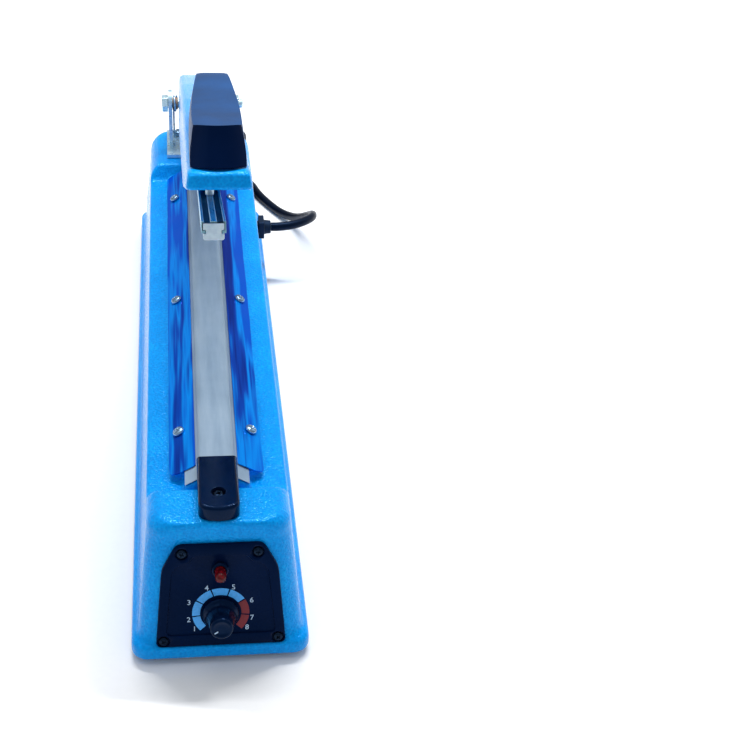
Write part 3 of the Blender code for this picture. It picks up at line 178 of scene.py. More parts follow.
def loft(mesh_data, rings, closed=True):
    """Skin closed rings of equal length; cap both ends, or join the last to the first."""
    built = [[mesh_data.verts.new(point) for point in ring] for ring in rings]
    count = len(built[0])
    pairs = list(zip(built, built[1:]))
    if not closed:
        pairs.append((built[-1], built[0]))
    for lower, upper in pairs:
        for index in range(count):
            following = (index + 1) % count
            mesh_data.faces.new((lower[index], lower[following], upper[following], upper[index]))
    if closed:
        mesh_data.faces.new(list(reversed(built[0])))
        mesh_data.faces.new(built[-1])


def lathe(mesh_data, profile, centre, axis=(0.0, 0.0, 1.0), sides=48):
    """Turn (radius, height) points about an axis; a radius of zero closes the end."""
    turn = Vector(axis).normalized().to_track_quat("Z", "Y").to_matrix()
    rings = []
    for radius, height in profile:
        ring = []
        for step in range(sides):
            angle = math.tau * step / sides
            reach = max(radius, 0.01)
            local = Vector((reach * math.cos(angle), reach * math.sin(angle), height))
            ring.append(Vector(centre) + turn @ local)
        rings.append(ring)
    loft(mesh_data, rings)


def add_block(mesh_data, low, high):
    corners = ((low[0], low[1]), (high[0], low[1]), (high[0], high[1]), (low[0], high[1]))
    loft(mesh_data, [[(x, y, z) for x, y in corners] for z in (low[2], high[2])])


def cut(piece, mesh_data):
    """Take a shape away from a piece, and settle it."""
    tool = bpy.data.objects.new("tool", to_mesh("tool", mesh_data))
    bpy.context.scene.collection.objects.link(tool)
    difference = piece.modifiers.new("cut", "BOOLEAN")
    difference.operation = "DIFFERENCE"
    difference.solver = "EXACT"
    difference.object = tool
    settle(piece)
    bpy.data.objects.remove(tool)


def between(rows, place):
    """Catmull-Rom blend of rows of numbers at a fractional row."""
    index = min(int(place), len(rows) - 2)
    t = place - index
    before = rows[max(index - 1, 0)]
    after = rows[min(index + 2, len(rows) - 1)]
    return [
        0.5 * (
            2.0 * b + (c - a) * t + (2.0 * a - 5.0 * b + 4.0 * c - d) * t ** 2
            + (3.0 * b - a - 3.0 * c + d) * t ** 3
        )
        for a, b, c, d in zip(before, rows[index], rows[index + 1], after)
    ]


def smooth_path(points, spacing):
    """Even points along a smooth curve through given ones."""
    steps = 12
    fine = [Vector(between(points, step / steps)) for step in range(steps * (len(points) - 1))]
    fine.append(Vector(points[-1]))
    lengths = [0.0]
    for here, there in zip(fine, fine[1:]):
        lengths.append(lengths[-1] + (there - here).length)
    count = round(lengths[-1] / spacing)
    even = []
    cursor = 0
    for step in range(count + 1):
        target = lengths[-1] * step / count
        while cursor < len(lengths) - 2 and lengths[cursor + 1] < target:
            cursor += 1
        share = (target - lengths[cursor]) / (lengths[cursor + 1] - lengths[cursor])
        even.append(fine[cursor].lerp(fine[cursor + 1], min(share, 1.0)))
    return even, lengths[-1]


def wire_curve(name, points, radius, sides=4):
    """A round wire or cord along a line of points in millimetres."""
    curve = bpy.data.curves.new(name, "CURVE")
    curve.dimensions = "3D"
    curve.bevel_depth = radius * MM
    curve.bevel_resolution = sides
    curve.use_fill_caps = True
    spline = curve.splines.new("POLY")
    spline.points.add(len(points) - 1)
    for spline_point, point in zip(spline.points, points):
        spline_point.co = (*(Vector(point) * MM), 1.0)
    spline.use_smooth = True
    return curve


# ---------------------------------------------------------------- materials

def new_material(name, colour, roughness, metallic=0.0, **sockets):
    """A principled material; sockets are constants given by name with _ for spaces."""
    material = bpy.data.materials.new(name)
    material.use_nodes = True
    shader = material.node_tree.nodes["Principled BSDF"]
    shader.inputs["Base Color"].default_value = (*colour, 1.0)
    shader.inputs["Roughness"].default_value = roughness
    shader.inputs["Metallic"].default_value = metallic
    for socket, value in sockets.items():
        shader.inputs[socket.replace("_", " ")].default_value = value
    return material


def times(colour, factor):
    """A colour made lighter or darker."""
    return tuple(channel * factor for channel in colour)


class Painter:
    """Adds texture nodes to one material."""

    def __init__(self, material):
        self.tree = material.node_tree
        self.shader = self.tree.nodes["Principled BSDF"]
        self.place = self.tree.nodes.new("ShaderNodeTexCoord").outputs["Object"]

    def node(self, kind, inputs=None, **settings):
        node = self.tree.nodes.new(kind)
        for name, value in settings.items():
            setattr(node, name, value)
        for name, value in (inputs or {}).items():
            if isinstance(value, bpy.types.NodeSocket):
                self.tree.links.new(value, node.inputs[name])
            else:
                node.inputs[name].default_value = value
        return node

    def stretched(self, scale):
        """Object coordinates stretched by a scale on each axis."""
        return self.node("ShaderNodeMapping", {"Vector": self.place, "Scale": scale}).outputs["Vector"]

    def noise(self, scale, detail=3.0, rough=0.5, place=None):
        inputs = {"Vector": place or self.place, "Scale": scale, "Detail": detail, "Roughness": rough}
        return self.node("ShaderNodeTexNoise", inputs).outputs["Fac"]

    def cells(self, scale, feature="SMOOTH_F1"):
        inputs = {"Vector": self.place, "Scale": scale}
        return self.node("ShaderNodeTexVoronoi", inputs, feature=feature).outputs["Distance"]

    def waves(self, scale, direction, distortion=0.0):
        inputs = {"Vector": self.place, "Scale": scale, "Distortion": distortion, "Detail": 1.0}
        settings = {"wave_type": "BANDS", "bands_direction": direction}
        return self.node("ShaderNodeTexWave", inputs, **settings).outputs["Fac"]

    def remap(self, value, low, high, new_low, new_high):
        inputs = {"Value": value, "From Min": low, "From Max": high, "To Min": new_low, "To Max": new_high}
        return self.node("ShaderNodeMapRange", inputs).outputs["Result"]

    def combine(self, first, second, operation="ADD"):
        return self.node("ShaderNodeMath", {0: first, 1: second}, operation=operation).outputs[0]

    def mix(self, first, first_share, second, second_share):
        """Two patterns added in their shares."""
        return self.combine(
            self.combine(first, first_share, "MULTIPLY"), self.combine(second, second_share, "MULTIPLY"),
        )

    def ramp(self, value, stops):
        node = self.node("ShaderNodeValToRGB", {"Fac": value})
        elements = node.color_ramp.elements
        while len(elements) < len(stops):
            elements.new(0.5)
        for element, (position, colour) in zip(elements, stops):
            element.position = position
            element.color = (*colour, 1.0)
        return node.outputs["Color"]

    def colour(self, socket):
        self.tree.links.new(socket, self.shader.inputs["Base Color"])

    def roughness(self, socket):
        self.tree.links.new(socket, self.shader.inputs["Roughness"])

    def bump(self, height, distance, strength=1.0):
        """Relief, whose distance is in millimetres."""
        inputs = {"Height": height, "Distance": distance * MM, "Strength": strength}
        node = self.node("ShaderNodeBump", inputs)
        self.tree.links.new(node.outputs["Normal"], self.shader.inputs["Normal"])


def hammer_paint():
    """Blue hammer-finish enamel: pebbled, with a little metal flake."""
    material = new_material(
        "blue_hammer_paint", (0.002, 0.25, 0.72), 0.20, 0.05,
        Specular_IOR_Level=0.18, Specular_Tint=(0.40, 0.78, 1.0, 1.0),
    )
    painter = Painter(material)
    pebbles = painter.cells(880.0)
    grain = painter.noise(1500.0, 2.0, 0.55)
    swirl = painter.noise(38.0, 4.0, 0.6)
    relief = painter.combine(pebbles, painter.combine(grain, 0.55, "MULTIPLY"))
    tone = painter.mix(swirl, 0.55, pebbles, 0.5)
    painter.colour(painter.ramp(tone, (
        (0.22, (0.0004, 0.230, 0.70)),
        (0.52, (0.0008, 0.315, 0.86)),
        (0.80, (0.0040, 0.420, 0.96)),
    )))
    painter.roughness(painter.remap(grain, 0.3, 0.7, 0.10, 0.24))
    painter.bump(relief, 0.26, 1.0)
    return material


NAVY_TINT = (0.16, 0.42, 1.0, 1.0)


def gloss_plastic(name, colour, specular, rough=(0.10, 0.24)):
    """Polished moulding with faint flow marks and handling wear."""
    material = new_material(name, colour, 0.16, 0.0, Specular_IOR_Level=specular, Specular_Tint=NAVY_TINT)
    painter = Painter(material)
    marks = painter.noise(140.0, 6.0, 0.65)
    bloom = painter.noise(22.0, 3.0, 0.5)
    painter.colour(painter.ramp(bloom, ((0.35, colour), (0.75, times(colour, 1.6)))))
    painter.roughness(painter.remap(marks, 0.3, 0.75, *rough))
    painter.bump(marks, 0.02, 0.35)
    return material


def matte_plastic(name, colour, rough=(0.42, 0.62), grain_scale=900.0):
    """Spark-eroded moulding texture."""
    material = new_material(name, colour, 0.5, 0.0, Specular_IOR_Level=0.3, Specular_Tint=NAVY_TINT)
    painter = Painter(material)
    grain = painter.noise(grain_scale, 3.0, 0.7)
    wear = painter.noise(30.0, 4.0, 0.6)
    painter.colour(painter.ramp(wear, ((0.4, colour), (0.8, times(colour, 1.6)))))
    painter.roughness(painter.remap(wear, 0.3, 0.7, *rough))
    painter.bump(grain, 0.06, 0.6)
    return material


def guard_film():
    """Sheet under deep blue mirror film, with bright streaks along its length painted into its colour as
    reflections.
    """
    material = new_material(
        "blue_guard_film", (0.001, 0.09, 0.50), 0.12, 0.35,
        Specular_IOR_Level=0.10, Specular_Tint=(0.02, 0.25, 1.0, 1.0),
    )
    painter = Painter(material)
    folds_and_painted_reflections = painter.noise(1.0, 2.0, 0.5, painter.stretched((120.0, 9.0, 120.0)))
    painted_reflection_streaks = painter.noise(1.0, 3.0, 0.55, painter.stretched((260.0, 6.0, 260.0)))
    hairlines = painter.noise(1.0, 2.0, 0.6, painter.stretched((1500.0, 20.0, 1500.0)))
    # painted reflection: the fold and streak noises set the film's colour bands, whose bright azure stop
    # stands for mirrored light
    tone = painter.mix(folds_and_painted_reflections, 0.65, painted_reflection_streaks, 0.35)
    painter.colour(painter.ramp(tone, (
        (0.40, (0.0002, 0.028, 0.26)),
        (0.47, (0.0003, 0.070, 0.48)),
        (0.53, (0.0004, 0.300, 0.95)),
        (0.60, (0.0004, 0.110, 0.66)),
    )))
    painter.roughness(painter.remap(hairlines, 0.3, 0.7, 0.10, 0.24))
    painter.bump(folds_and_painted_reflections, 0.30, 0.35)
    return material


def coated_cloth():
    """Plain-weave glass cloth filled with PTFE, browned a little over the element."""
    material = new_material(
        "ptfe_glass_cloth", (0.30, 0.40, 0.50), 0.5, 0.0, Sheen_Weight=0.15, Sheen_Roughness=0.4,
    )
    painter = Painter(material)
    threads = 620.0
    weave = painter.combine(painter.waves(threads, "X"), painter.waves(threads, "Y"), "MULTIPLY")
    slubs = painter.noise(1.0, 3.0, 0.6, painter.stretched((260.0, 26.0, 260.0)))
    stain = painter.noise(26.0, 4.0, 0.6)
    tone = painter.mix(stain, 0.5, slubs, 0.5)
    painter.colour(painter.ramp(tone, (
        (0.32, (0.185, 0.275, 0.375)),
        (0.50, (0.245, 0.345, 0.455)),
        (0.68, (0.310, 0.415, 0.520)),
    )))
    painter.roughness(painter.remap(slubs, 0.3, 0.7, 0.38, 0.58))
    painter.bump(weave, 0.05, 0.6)
    return material


def metal(name, colour, rough, streak=(300.0, 300.0, 300.0), relief=0.03, tint=None, metallic=1.0):
    """Bare or plated metal with a drawn or tumbled surface."""
    material = new_material(name, colour, rough, metallic)
    painter = Painter(material)
    grain = painter.noise(1.0, 4.0, 0.65, painter.stretched(streak))
    cloud = painter.noise(60.0, 4.0, 0.6)
    painter.colour(painter.ramp(cloud, ((0.35, tint or times(colour, 0.72)), (0.62, colour))))
    painter.roughness(painter.remap(grain, 0.3, 0.7, rough * 0.7, rough * 1.35))
    painter.bump(grain, relief, 0.4)
    return material


def silicone_rubber():
    """White silicone, slightly translucent and dusty."""
    material = new_material(
        "white_silicone", (0.50, 0.80, 0.92), 0.42, 0.0, Subsurface_Weight=0.15, Subsurface_Scale=0.002,
    )
    painter = Painter(material)
    dust = painter.noise(260.0, 5.0, 0.65)
    painter.colour(painter.ramp(dust, ((0.35, (0.50, 0.64, 0.76)), (0.65, (0.66, 0.80, 0.90)))))
    painter.roughness(painter.remap(dust, 0.3, 0.7, 0.34, 0.55))
    painter.bump(dust, 0.04, 0.4)
    return material


def red_lens():
    """Moulded red lens with prism rings inside."""
    material = new_material(
        "red_lens", (0.14, 0.003, 0.006), 0.12, 0.0, IOR=1.49, Specular_IOR_Level=0.25,
    )
    painter = Painter(material)
    facets = painter.cells(520.0, "F1")
    painter.colour(painter.ramp(facets, ((0.1, (0.20, 0.004, 0.008)), (0.6, (0.07, 0.002, 0.004)))))
    painter.roughness(painter.remap(facets, 0.0, 0.6, 0.08, 0.16))
    painter.bump(facets, 0.08, 0.35)
    return material


def rubber(name, colour, rough=(0.55, 0.8), scale=420.0):
    """Dull rubber or soft plastic with a faint bloom."""
    material = new_material(name, colour, 0.7, 0.0, Specular_IOR_Level=0.2, Specular_Tint=NAVY_TINT)
    painter = Painter(material)
    bloom = painter.noise(scale, 5.0, 0.7)
    painter.colour(painter.ramp(bloom, ((0.4, colour), (0.75, times(colour, 2.0)))))
    painter.roughness(painter.remap(bloom, 0.3, 0.7, *rough))
    painter.bump(bloom, 0.06, 0.5)
    return material


def printed_ink(name, colour):
    """Screen-printed ink with slightly uneven cover."""
    material = new_material(name, colour, 0.4, 0.0, Specular_IOR_Level=0.3)
    painter = Painter(material)
    cover = painter.noise(900.0, 3.0, 0.6)
    painter.colour(painter.ramp(cover, ((0.3, times(colour, 0.82)), (0.55, colour))))
    painter.roughness(painter.remap(cover, 0.3, 0.7, 0.32, 0.5))
    painter.bump(cover, 0.01, 0.4)
    return material


def circuit_board():
    """Green laminate with printed tracks."""
    material = new_material("circuit_board", (0.012, 0.10, 0.035), 0.45)
    painter = Painter(material)
    tracks = painter.waves(90.0, "X", 6.0)
    weave = painter.cells(1400.0, "F1")
    painter.colour(painter.ramp(tracks, ((0.45, (0.010, 0.085, 0.030)), (0.55, (0.028, 0.19, 0.06)))))
    painter.roughness(painter.remap(weave, 0.0, 0.6, 0.3, 0.5))
    painter.bump(tracks, 0.04, 0.5)
    return material


def laminations():
    """Stacked core plates with blue-black scale."""
    material = new_material("laminated_steel", (0.16, 0.17, 0.19), 0.5, 0.85)
    painter = Painter(material)
    plates = painter.waves(320.0, "Y")
    scale = painter.noise(120.0, 5.0, 0.65)
    painter.colour(painter.ramp(scale, ((0.4, (0.10, 0.11, 0.13)), (0.7, (0.24, 0.22, 0.20)))))
    painter.roughness(painter.remap(scale, 0.3, 0.7, 0.4, 0.65))
    painter.bump(plates, 0.12, 0.7)
    return material


def winding_tape():
    """Yellow polyester tape wound over the coil."""
    material = new_material("winding_tape", (0.60, 0.42, 0.05), 0.35)
    painter = Painter(material)
    wraps = painter.waves(60.0, "Z", 1.5)
    creases = painter.noise(180.0, 4.0, 0.6)
    painter.colour(painter.ramp(wraps, ((0.2, (0.45, 0.29, 0.03)), (0.6, (0.62, 0.44, 0.06)))))
    painter.roughness(painter.remap(creases, 0.3, 0.7, 0.25, 0.5))
    painter.bump(wraps, 0.08, 0.5)
    return material


def floor_paper():
    """White paper under the object."""
    material = new_material("floor_paper", (0.93, 0.93, 0.935), 0.75, 0.0, Specular_IOR_Level=0.2)
    painter = Painter(material)
    fibres = painter.noise(300.0, 4.0, 0.6)
    painter.colour(painter.ramp(fibres, ((0.3, (0.92, 0.92, 0.925)), (0.7, (0.94, 0.94, 0.945)))))
    return material


BLUE = hammer_paint()
GLOSS = gloss_plastic("black_gloss_plastic", (0.0008, 0.0046, 0.020), 0.20)
PANEL_BLACK = gloss_plastic("panel_black", (0.0008, 0.0050, 0.026), 0.08, (0.20, 0.36))
HANDLE_GLOSS = gloss_plastic("handle_front_plastic", (0.0007, 0.0050, 0.026), 0.10, (0.12, 0.24))
# painted reflection: the top's navy, several times lighter than the other black plastics, stands for light
# glancing off it
HANDLE_MATTE_PAINTED_SHEEN = matte_plastic("handle_top_plastic_painted_sheen", (0.009, 0.044, 0.138), (0.40, 0.54), 1300.0)
MATTE = matte_plastic("black_matte_plastic", (0.006, 0.011, 0.022))
FILM = guard_film()
CLOTH = coated_cloth()
ZINC = metal(
    "zinc_plated_steel", (0.58, 0.76, 0.84), 0.30, relief=0.015, tint=(0.50, 0.70, 0.80), metallic=0.7,
)
SCREW_STEEL = metal("screw_steel", (0.30, 0.46, 0.64), 0.24)
BLACK_STEEL = metal("blackened_steel", (0.006, 0.014, 0.032), 0.30, tint=(0.012, 0.024, 0.048))
ALUMINIUM = metal("aluminium", (0.34, 0.62, 0.74), 0.34, (700.0, 14.0, 700.0), 0.012)
# painted shade: near-black for the groove floors, which are aluminium lying in shade under the arm
GROOVE_PAINTED_SHADE = matte_plastic("channel_groove_painted_shade", (0.006, 0.014, 0.030))
NICHROME = metal("nichrome", (0.42, 0.40, 0.38), 0.36, (700.0, 10.0, 700.0))
BRASS = metal("nickelled_brass", (0.70, 0.66, 0.55), 0.2)
SILICONE = silicone_rubber()
LENS = red_lens()
RUBBER = rubber("black_rubber", (0.003, 0.006, 0.013))
CORD_PVC = rubber("cord_pvc", (0.0012, 0.0030, 0.0090), (0.30, 0.46), 240.0)
BUSH = matte_plastic("tan_bush", (0.42, 0.27, 0.16), (0.4, 0.6))
SWITCH_PLASTIC = matte_plastic("switch_plastic", (0.02, 0.02, 0.024))
RING_BLUE = printed_ink("ring_blue", (0.07, 0.42, 0.98))
RING_RED = printed_ink("ring_red", (0.20, 0.010, 0.022))
PRINT_WHITE = printed_ink("print_white", (0.45, 0.62, 0.82))
BOARD = circuit_board()
LAMINATIONS = laminations()
WINDING = winding_tape()


def paint_hidden_nodes():
    """Materials for the CAD nodes that stay as they are."""
    finishes = {
        "platform_rail": ALUMINIUM,
        "insulation_strip": CLOTH,
        "heating_element": NICHROME,
        "bottom_plate": ZINC,
        "micro_switch": SWITCH_PLASTIC,
        "switch_plunger": ZINC,
        "timer_board": BOARD,
        "transformer_core": LAMINATIONS,
        "transformer_coil": WINDING,
        "potentiometer_body": SWITCH_PLASTIC,
        "potentiometer_shaft": ALUMINIUM,
        "bar_bolt_1": ZINC,
        "bar_bolt_2": ZINC,
    }
    for node, material in finishes.items():
        mesh = frame["nodes"][node].data
        mesh.materials.clear()
        mesh.materials.append(material)


# ---------------------------------------------------------------- camera, floor, light

def make_camera():
    """The photograph's view: near the front, high, turned and leaning a little."""
    pitch = math.radians(33.56)
    yaw = math.radians(8.59)
    roll = math.radians(3.43)
    forward = Vector((
        math.sin(yaw) * math.cos(pitch), math.cos(yaw) * math.cos(pitch), -math.sin(pitch),
    ))
    level = Vector((math.cos(yaw), -math.sin(yaw), 0.0))
    upright = level.cross(forward)
    right = level * math.cos(roll) + upright * math.sin(roll)
    up = upright * math.cos(roll) - level * math.sin(roll)
    camera = bpy.data.objects.new("camera", bpy.data.cameras.new("camera"))
    camera.data.lens = 70.95
    camera.data.sensor_width = 36.0
    camera.data.clip_start = 0.02
    turn = Matrix((right, up, -forward)).transposed().to_4x4()
    camera.matrix_world = Matrix.Translation((-0.01422, -0.71301, 0.50138)) @ turn
    bpy.context.scene.collection.objects.link(camera)
    bpy.context.scene.camera = camera


def add_area_light(name, place, target, size, power, colour=(1.0, 1.0, 1.0)):
    lamp = bpy.data.lights.new(name, "AREA")
    lamp.shape = "RECTANGLE"
    lamp.size, lamp.size_y = size
    lamp.energy = power
    lamp.color = colour
    light = bpy.data.objects.new(name, lamp)
    light.location = place
    light.rotation_euler = (Vector(target) - Vector(place)).to_track_quat("-Z", "Y").to_euler()
    bpy.context.scene.collection.objects.link(light)


FLOOR_HALF = 6000.0
LAMPS = (
    # name, place and target in metres, size, power, colour if it isn't white
    ("softbox_above", (-0.25, 0.05, 1.30), (0.0, 0.0, 0.0), (1.1, 1.3), 4.2),
    ("strip_above", (0.12, 0.42, 1.25), (0.0, -0.15, 0.0), (0.9, 0.030), 18.0),
    ("softbox_left", (-1.30, -0.35, 0.75), (0.0, 0.0, 0.05), (0.8, 1.2), 1.0, (0.93, 0.97, 1.0)),
    ("softbox_right", (1.10, 0.55, 0.85), (0.0, 0.05, 0.05), (0.5, 1.1), 1.8),
    ("softbox_front", (0.10, -1.30, 1.05), (0.0, -0.10, 0.05), (0.9, 0.35), 0.5),
)


def make_studio():
    """Wide pale floor, even pale surroundings and five soft lamps."""
    mesh_data = bmesh.new()
    places = (-FLOOR_HALF, 0.0, FLOOR_HALF)
    fill_grid(mesh_data, [[(x, y, -0.02) for x in places] for y in places])
    floor = bpy.data.objects.new("floor", to_mesh("floor", mesh_data))
    floor.data.materials.append(floor_paper())
    bpy.context.scene.collection.objects.link(floor)
    world = bpy.data.worlds.new("studio")
    world.use_nodes = True
    background = world.node_tree.nodes["Background"]
    background.inputs["Color"].default_value = (0.90, 0.95, 1.0, 1.0)
    background.inputs["Strength"].default_value = 0.43
    bpy.context.scene.world = world
    for lamp in LAMPS:
        add_area_light(*lamp)
    bpy.context.scene.view_settings.view_transform = "Standard"


# ---------------------------------------------------------------- cord

CORD_DIAMETER = 6.0
FRAME_SHIFT = HINGE.y - 187.0       # the frame's Y less the casting's own
CORD_ROUTE = (
    (46.0, 143.0, 38.0), (50.0, 143.0, 38.0), (56.5, 143.8, 38.1), (62.7, 146.2, 38.1),
    (68.1, 149.9, 37.8), (72.4, 154.9, 37.1), (75.3, 161.0, 35.7), (76.8, 172.0, 31.6),
    (76.2, 182.6, 25.8), (74.2, 193.0, 19.4), (71.2, 203.0, 13.3), (67.2, 212.6, 8.4),
    (62.6, 222.0, 5.2), (57.6, 231.0, 3.6), (53.0, 239.8, 3.2), (49.0, 248.2, 3.2),
    (45.6, 256.2, 3.2),
)
COIL_CENTRE = middle("cord_coil")
PLUG_AXIS = Vector((23.0, 290.0 + FRAME_SHIFT, 26.3))
COIL_SEATS = ((35.0, 3.2), (29.0, 3.2), (29.0, 9.2), (35.0, 9.2), (35.0, 15.2), (29.0, 15.2))
COIL_STEP = 300.0        # degrees from one seat to the next, so that no crossing meets another
COIL_EASE = 60.0         # half of each crossing, in degrees
LAST_BEND = 120.0        # degrees turned on the way to the plug
LAST_RADIUS = 24.0
COIL_END = 1680.0        # where the cord leaves its last turn and rises to the plug


def eased(share):
    return 0.5 - 0.5 * math.cos(math.pi * min(max(share, 0.0), 1.0))


def coil_point(turned):
    """A point of the wound cord after a number of degrees."""
    radius, height = COIL_SEATS[0]
    for number, (next_radius, next_height) in enumerate(COIL_SEATS[1:], start=1):
        share = eased((turned - (COIL_STEP * number + COIL_EASE) + COIL_EASE) / (2.0 * COIL_EASE))
        radius += share * (next_radius - COIL_SEATS[number - 1][0])
        height += share * (next_height - COIL_SEATS[number - 1][1])
    radius += 6.4 * max(1.0 - turned / 120.0, 0.0) ** 2
    angle = math.radians(turned)
    return Vector((
        COIL_CENTRE.x + radius * math.cos(angle), COIL_CENTRE.y + radius * math.sin(angle), height,
    ))


def cord_points():
    """Gland, down to the floor, round the coil, then up and round into the plug's tail."""
    points = [Vector((x, y + FRAME_SHIFT, z)) for x, y, z in CORD_ROUTE]
    last_radius, last_height = COIL_SEATS[-1]
    rise = PLUG_AXIS.z - last_height
    climb_turn = 60.0
    climb_length = math.radians(climb_turn) * last_radius + math.radians(LAST_BEND) * LAST_RADIUS
    turned = 0.0
    while turned < COIL_END - 1.0:
        point = coil_point(turned)
        done = math.radians(max(turned - COIL_END + climb_turn, 0.0)) * last_radius
        point.z += rise * eased(done / climb_length)
        points.append(point)
        turned += 15.0
    leaving = math.radians(COIL_END)
    heading = Vector((-math.sin(leaving), math.cos(leaving), 0.0))
    leftward = Vector((-heading.y, heading.x, 0.0))
    start = coil_point(COIL_END)
    for step in range(9):
        angle = math.radians(LAST_BEND * step / 8)
        place = start + LAST_RADIUS * (heading * math.sin(angle) + leftward * (1.0 - math.cos(angle)))
        done = math.radians(climb_turn) * last_radius + angle * LAST_RADIUS
        place.z = last_height + rise * eased(done / climb_length)
        points.append(place)
    points.append(Vector((PLUG_AXIS.x, PLUG_AXIS.y - 25.0, PLUG_AXIS.z)))
    return points


def make_plug():
    """Moulded plug with a ribbed tail and two round pins."""
    stations = [(-29.0, 3.6, 3.6)]
    for rib in range(5):
        foot = -27.6 + 2.8 * rib
        rib_profile = ((0.0, 4.0), (0.3, 4.9), (1.5, 5.0), (1.8, 4.1))
        stations += [(foot + along, half, half) for along, half in rib_profile]
    stations += [
        (-13.2, 5.4, 5.0), (-12.0, 9.6, 6.6), (-10.4, 11.6, 7.3), (-6.0, 13.4, 7.9), (-2.0, 13.7, 8.0),
        (4.0, 13.1, 7.5), (10.0, 13.4, 7.7), (16.0, 14.4, 8.0), (18.6, 14.4, 8.0), (19.7, 13.9, 7.5),
        (20.0, 13.0, 6.6),
    ]
    rings = []
    for along, half_width, half_tall in stations:
        ring = []
        for step in range(48):
            angle = math.tau * step / 48
            x = math.copysign(abs(math.cos(angle)) ** 0.62, math.cos(angle)) * half_width
            z = math.copysign(abs(math.sin(angle)) ** 0.62, math.sin(angle)) * half_tall
            ring.append(PLUG_AXIS + Vector((x, along, z)))
        rings.append(ring)
    body = bmesh.new()
    loft(body, rings)
    plug = add_piece("plug_body", body, MATTE, "base", ("mains_plug",))
    pieces = [plug]
    for number, side in enumerate((-1.0, 1.0), start=1):
        foot = PLUG_AXIS + Vector((side * 9.5, 0.0, 0.0))
        sleeve = bmesh.new()
        lathe(sleeve, ((2.4, 18.0), (2.4, 29.4), (2.2, 29.6)), foot, (0.0, 1.0, 0.0), 32)
        pin = bmesh.new()
        profile = ((2.2, 28.0), (2.2, 37.2), (1.9, 38.2), (1.2, 38.8), (0.0, 39.0))
        lathe(pin, profile, foot, (0.0, 1.0, 0.0), 32)
        pieces.append(add_piece(f"plug_sleeve_{number}", sleeve, MATTE, "base"))
        pieces.append(add_piece(f"plug_pin_{number}", pin, BRASS, "base"))
    return pieces


TIE_SECTION = (
    # along the cord, out from the coil: flat strip with the wire's rib
    (-2.2, -0.3), (2.2, -0.3), (2.2, 0.1), (0.5, 0.1), (0.0, 0.25), (-0.5, 0.1), (-2.2, 0.1),
)


def make_coil_tie():
    """Flat tie with a wire in it, round the wound cord."""
    radius = 32.0
    half_width = 6.25
    low, high = 0.27, 18.35
    corner = 2.4
    outline = []
    corners = (
        (half_width - corner, low + corner, -90.0), (half_width - corner, high - corner, 0.0),
        (corner - half_width, high - corner, 90.0), (corner - half_width, low + corner, 180.0),
    )
    for across, height, start in corners:
        for step in range(9):
            angle = math.radians(start + 90.0 * step / 8)
            outline.append((across + corner * math.cos(angle), height + corner * math.sin(angle), angle))
    tie = bmesh.new()
    rings = []
    for across, height, angle in outline:
        normal = Vector((math.cos(angle), 0.0, math.sin(angle)))
        centre = Vector((COIL_CENTRE.x - radius + across, COIL_CENTRE.y, height))
        rings.append([centre + normal * out + Vector((0.0, along, 0.0)) for along, out in TIE_SECTION])
    loft(tie, rings, closed=False)
    return add_piece("coil_tie", tie, RUBBER, "base")


def make_cord():
    """Mains cord from the gland to its plug, wound up behind the base."""
    points, length = smooth_path(cord_points(), 4.0)
    cord = add_object(
        "mains_lead", wire_curve("mains_lead", points, 0.5 * CORD_DIAMETER, 6), CORD_PVC, "base",
        ("mains_cord", "cord_coil"),
    )
    on_cord = [*make_plug(), make_coil_tie()]


# ---------------------------------------------------------------- base

def make_castings():
    """Base and press arm."""
    base = cast_piece("base_casting", "base_shell", BLUE, "base", 0.95, 2)
    arm = cast_piece("press_arm", "arm_casting", BLUE, "arm", 0.8, 3)


def panel_point(across, up, out=0.0):
    """A point on the control panel, up the slope from the dial's centre, out of its face."""
    upward = PANEL_INWARD.cross(Vector((-1.0, 0.0, 0.0)))
    return DIAL + Vector((across, 0.0, 0.0)) + upward * up - PANEL_INWARD * out


DIAL_UP = 17.6           # of the dial's centre above the panel's lower edge
PANEL_CORNERS = ((30.8, 0.0), (27.2, 42.0), (20.2, 54.9))
FACE_CORNERS = ((25.9, 6.2), (22.6, 40.6), (18.9, 44.6), (14.6, 45.6), (12.6, 48.8))
PANEL_SCREWS = ((27.0, 3.2), (17.6, 50.2))


def rounded_polygon(corners, radius, steps=6):
    """Round a convex or gently dented polygon's corners with arcs through their tangent points."""
    outline = []
    count = len(corners)
    for index in range(count):
        before = Vector(corners[index - 1])
        here = Vector(corners[index])
        after = Vector(corners[(index + 1) % count])
        reach = min(radius, 0.45 * (before - here).length, 0.45 * (after - here).length)
        start = here + (before - here).normalized() * reach
        end = here + (after - here).normalized() * reach
        for step in range(steps + 1):
            t = step / steps
            outline.append(start * (1.0 - t) ** 2 + here * 2.0 * t * (1.0 - t) + end * t ** 2)
    return outline


def outline_at(polygon, centre, angle):
    """Where a ray from the centre leaves a polygon."""
    direction = Vector((math.cos(angle), math.sin(angle)))
    best = 0.0
    for start, end in zip(polygon, polygon[1:] + polygon[:1]):
        edge = end - start
        offset = start - centre
        cross = direction.x * edge.y - direction.y * edge.x
        if abs(cross) < 1e-9:
            continue
        along = (offset.x * edge.y - offset.y * edge.x) / cross
        share = (offset.x * direction.y - offset.y * direction.x) / cross
        if along > 0.0 and -1e-6 <= share <= 1.0 + 1e-6:
            best = max(best, along)
    return centre + direction * best


def panel_ring(corners, radius, inset, out):
    """One level of the panel, as equal steps round its middle."""
    mirrored = [*corners, *[(-x, up) for x, up in reversed(corners)]]
    polygon = rounded_polygon(mirrored, radius)
    centre = Vector((0.0, 26.0))
    ring = []
    for step in range(180):
        point = outline_at(polygon, centre, math.tau * step / 180)
        point = point - (point - centre).normalized() * inset
        ring.append(panel_point(point.x, point.y - DIAL_UP, out))
    return ring


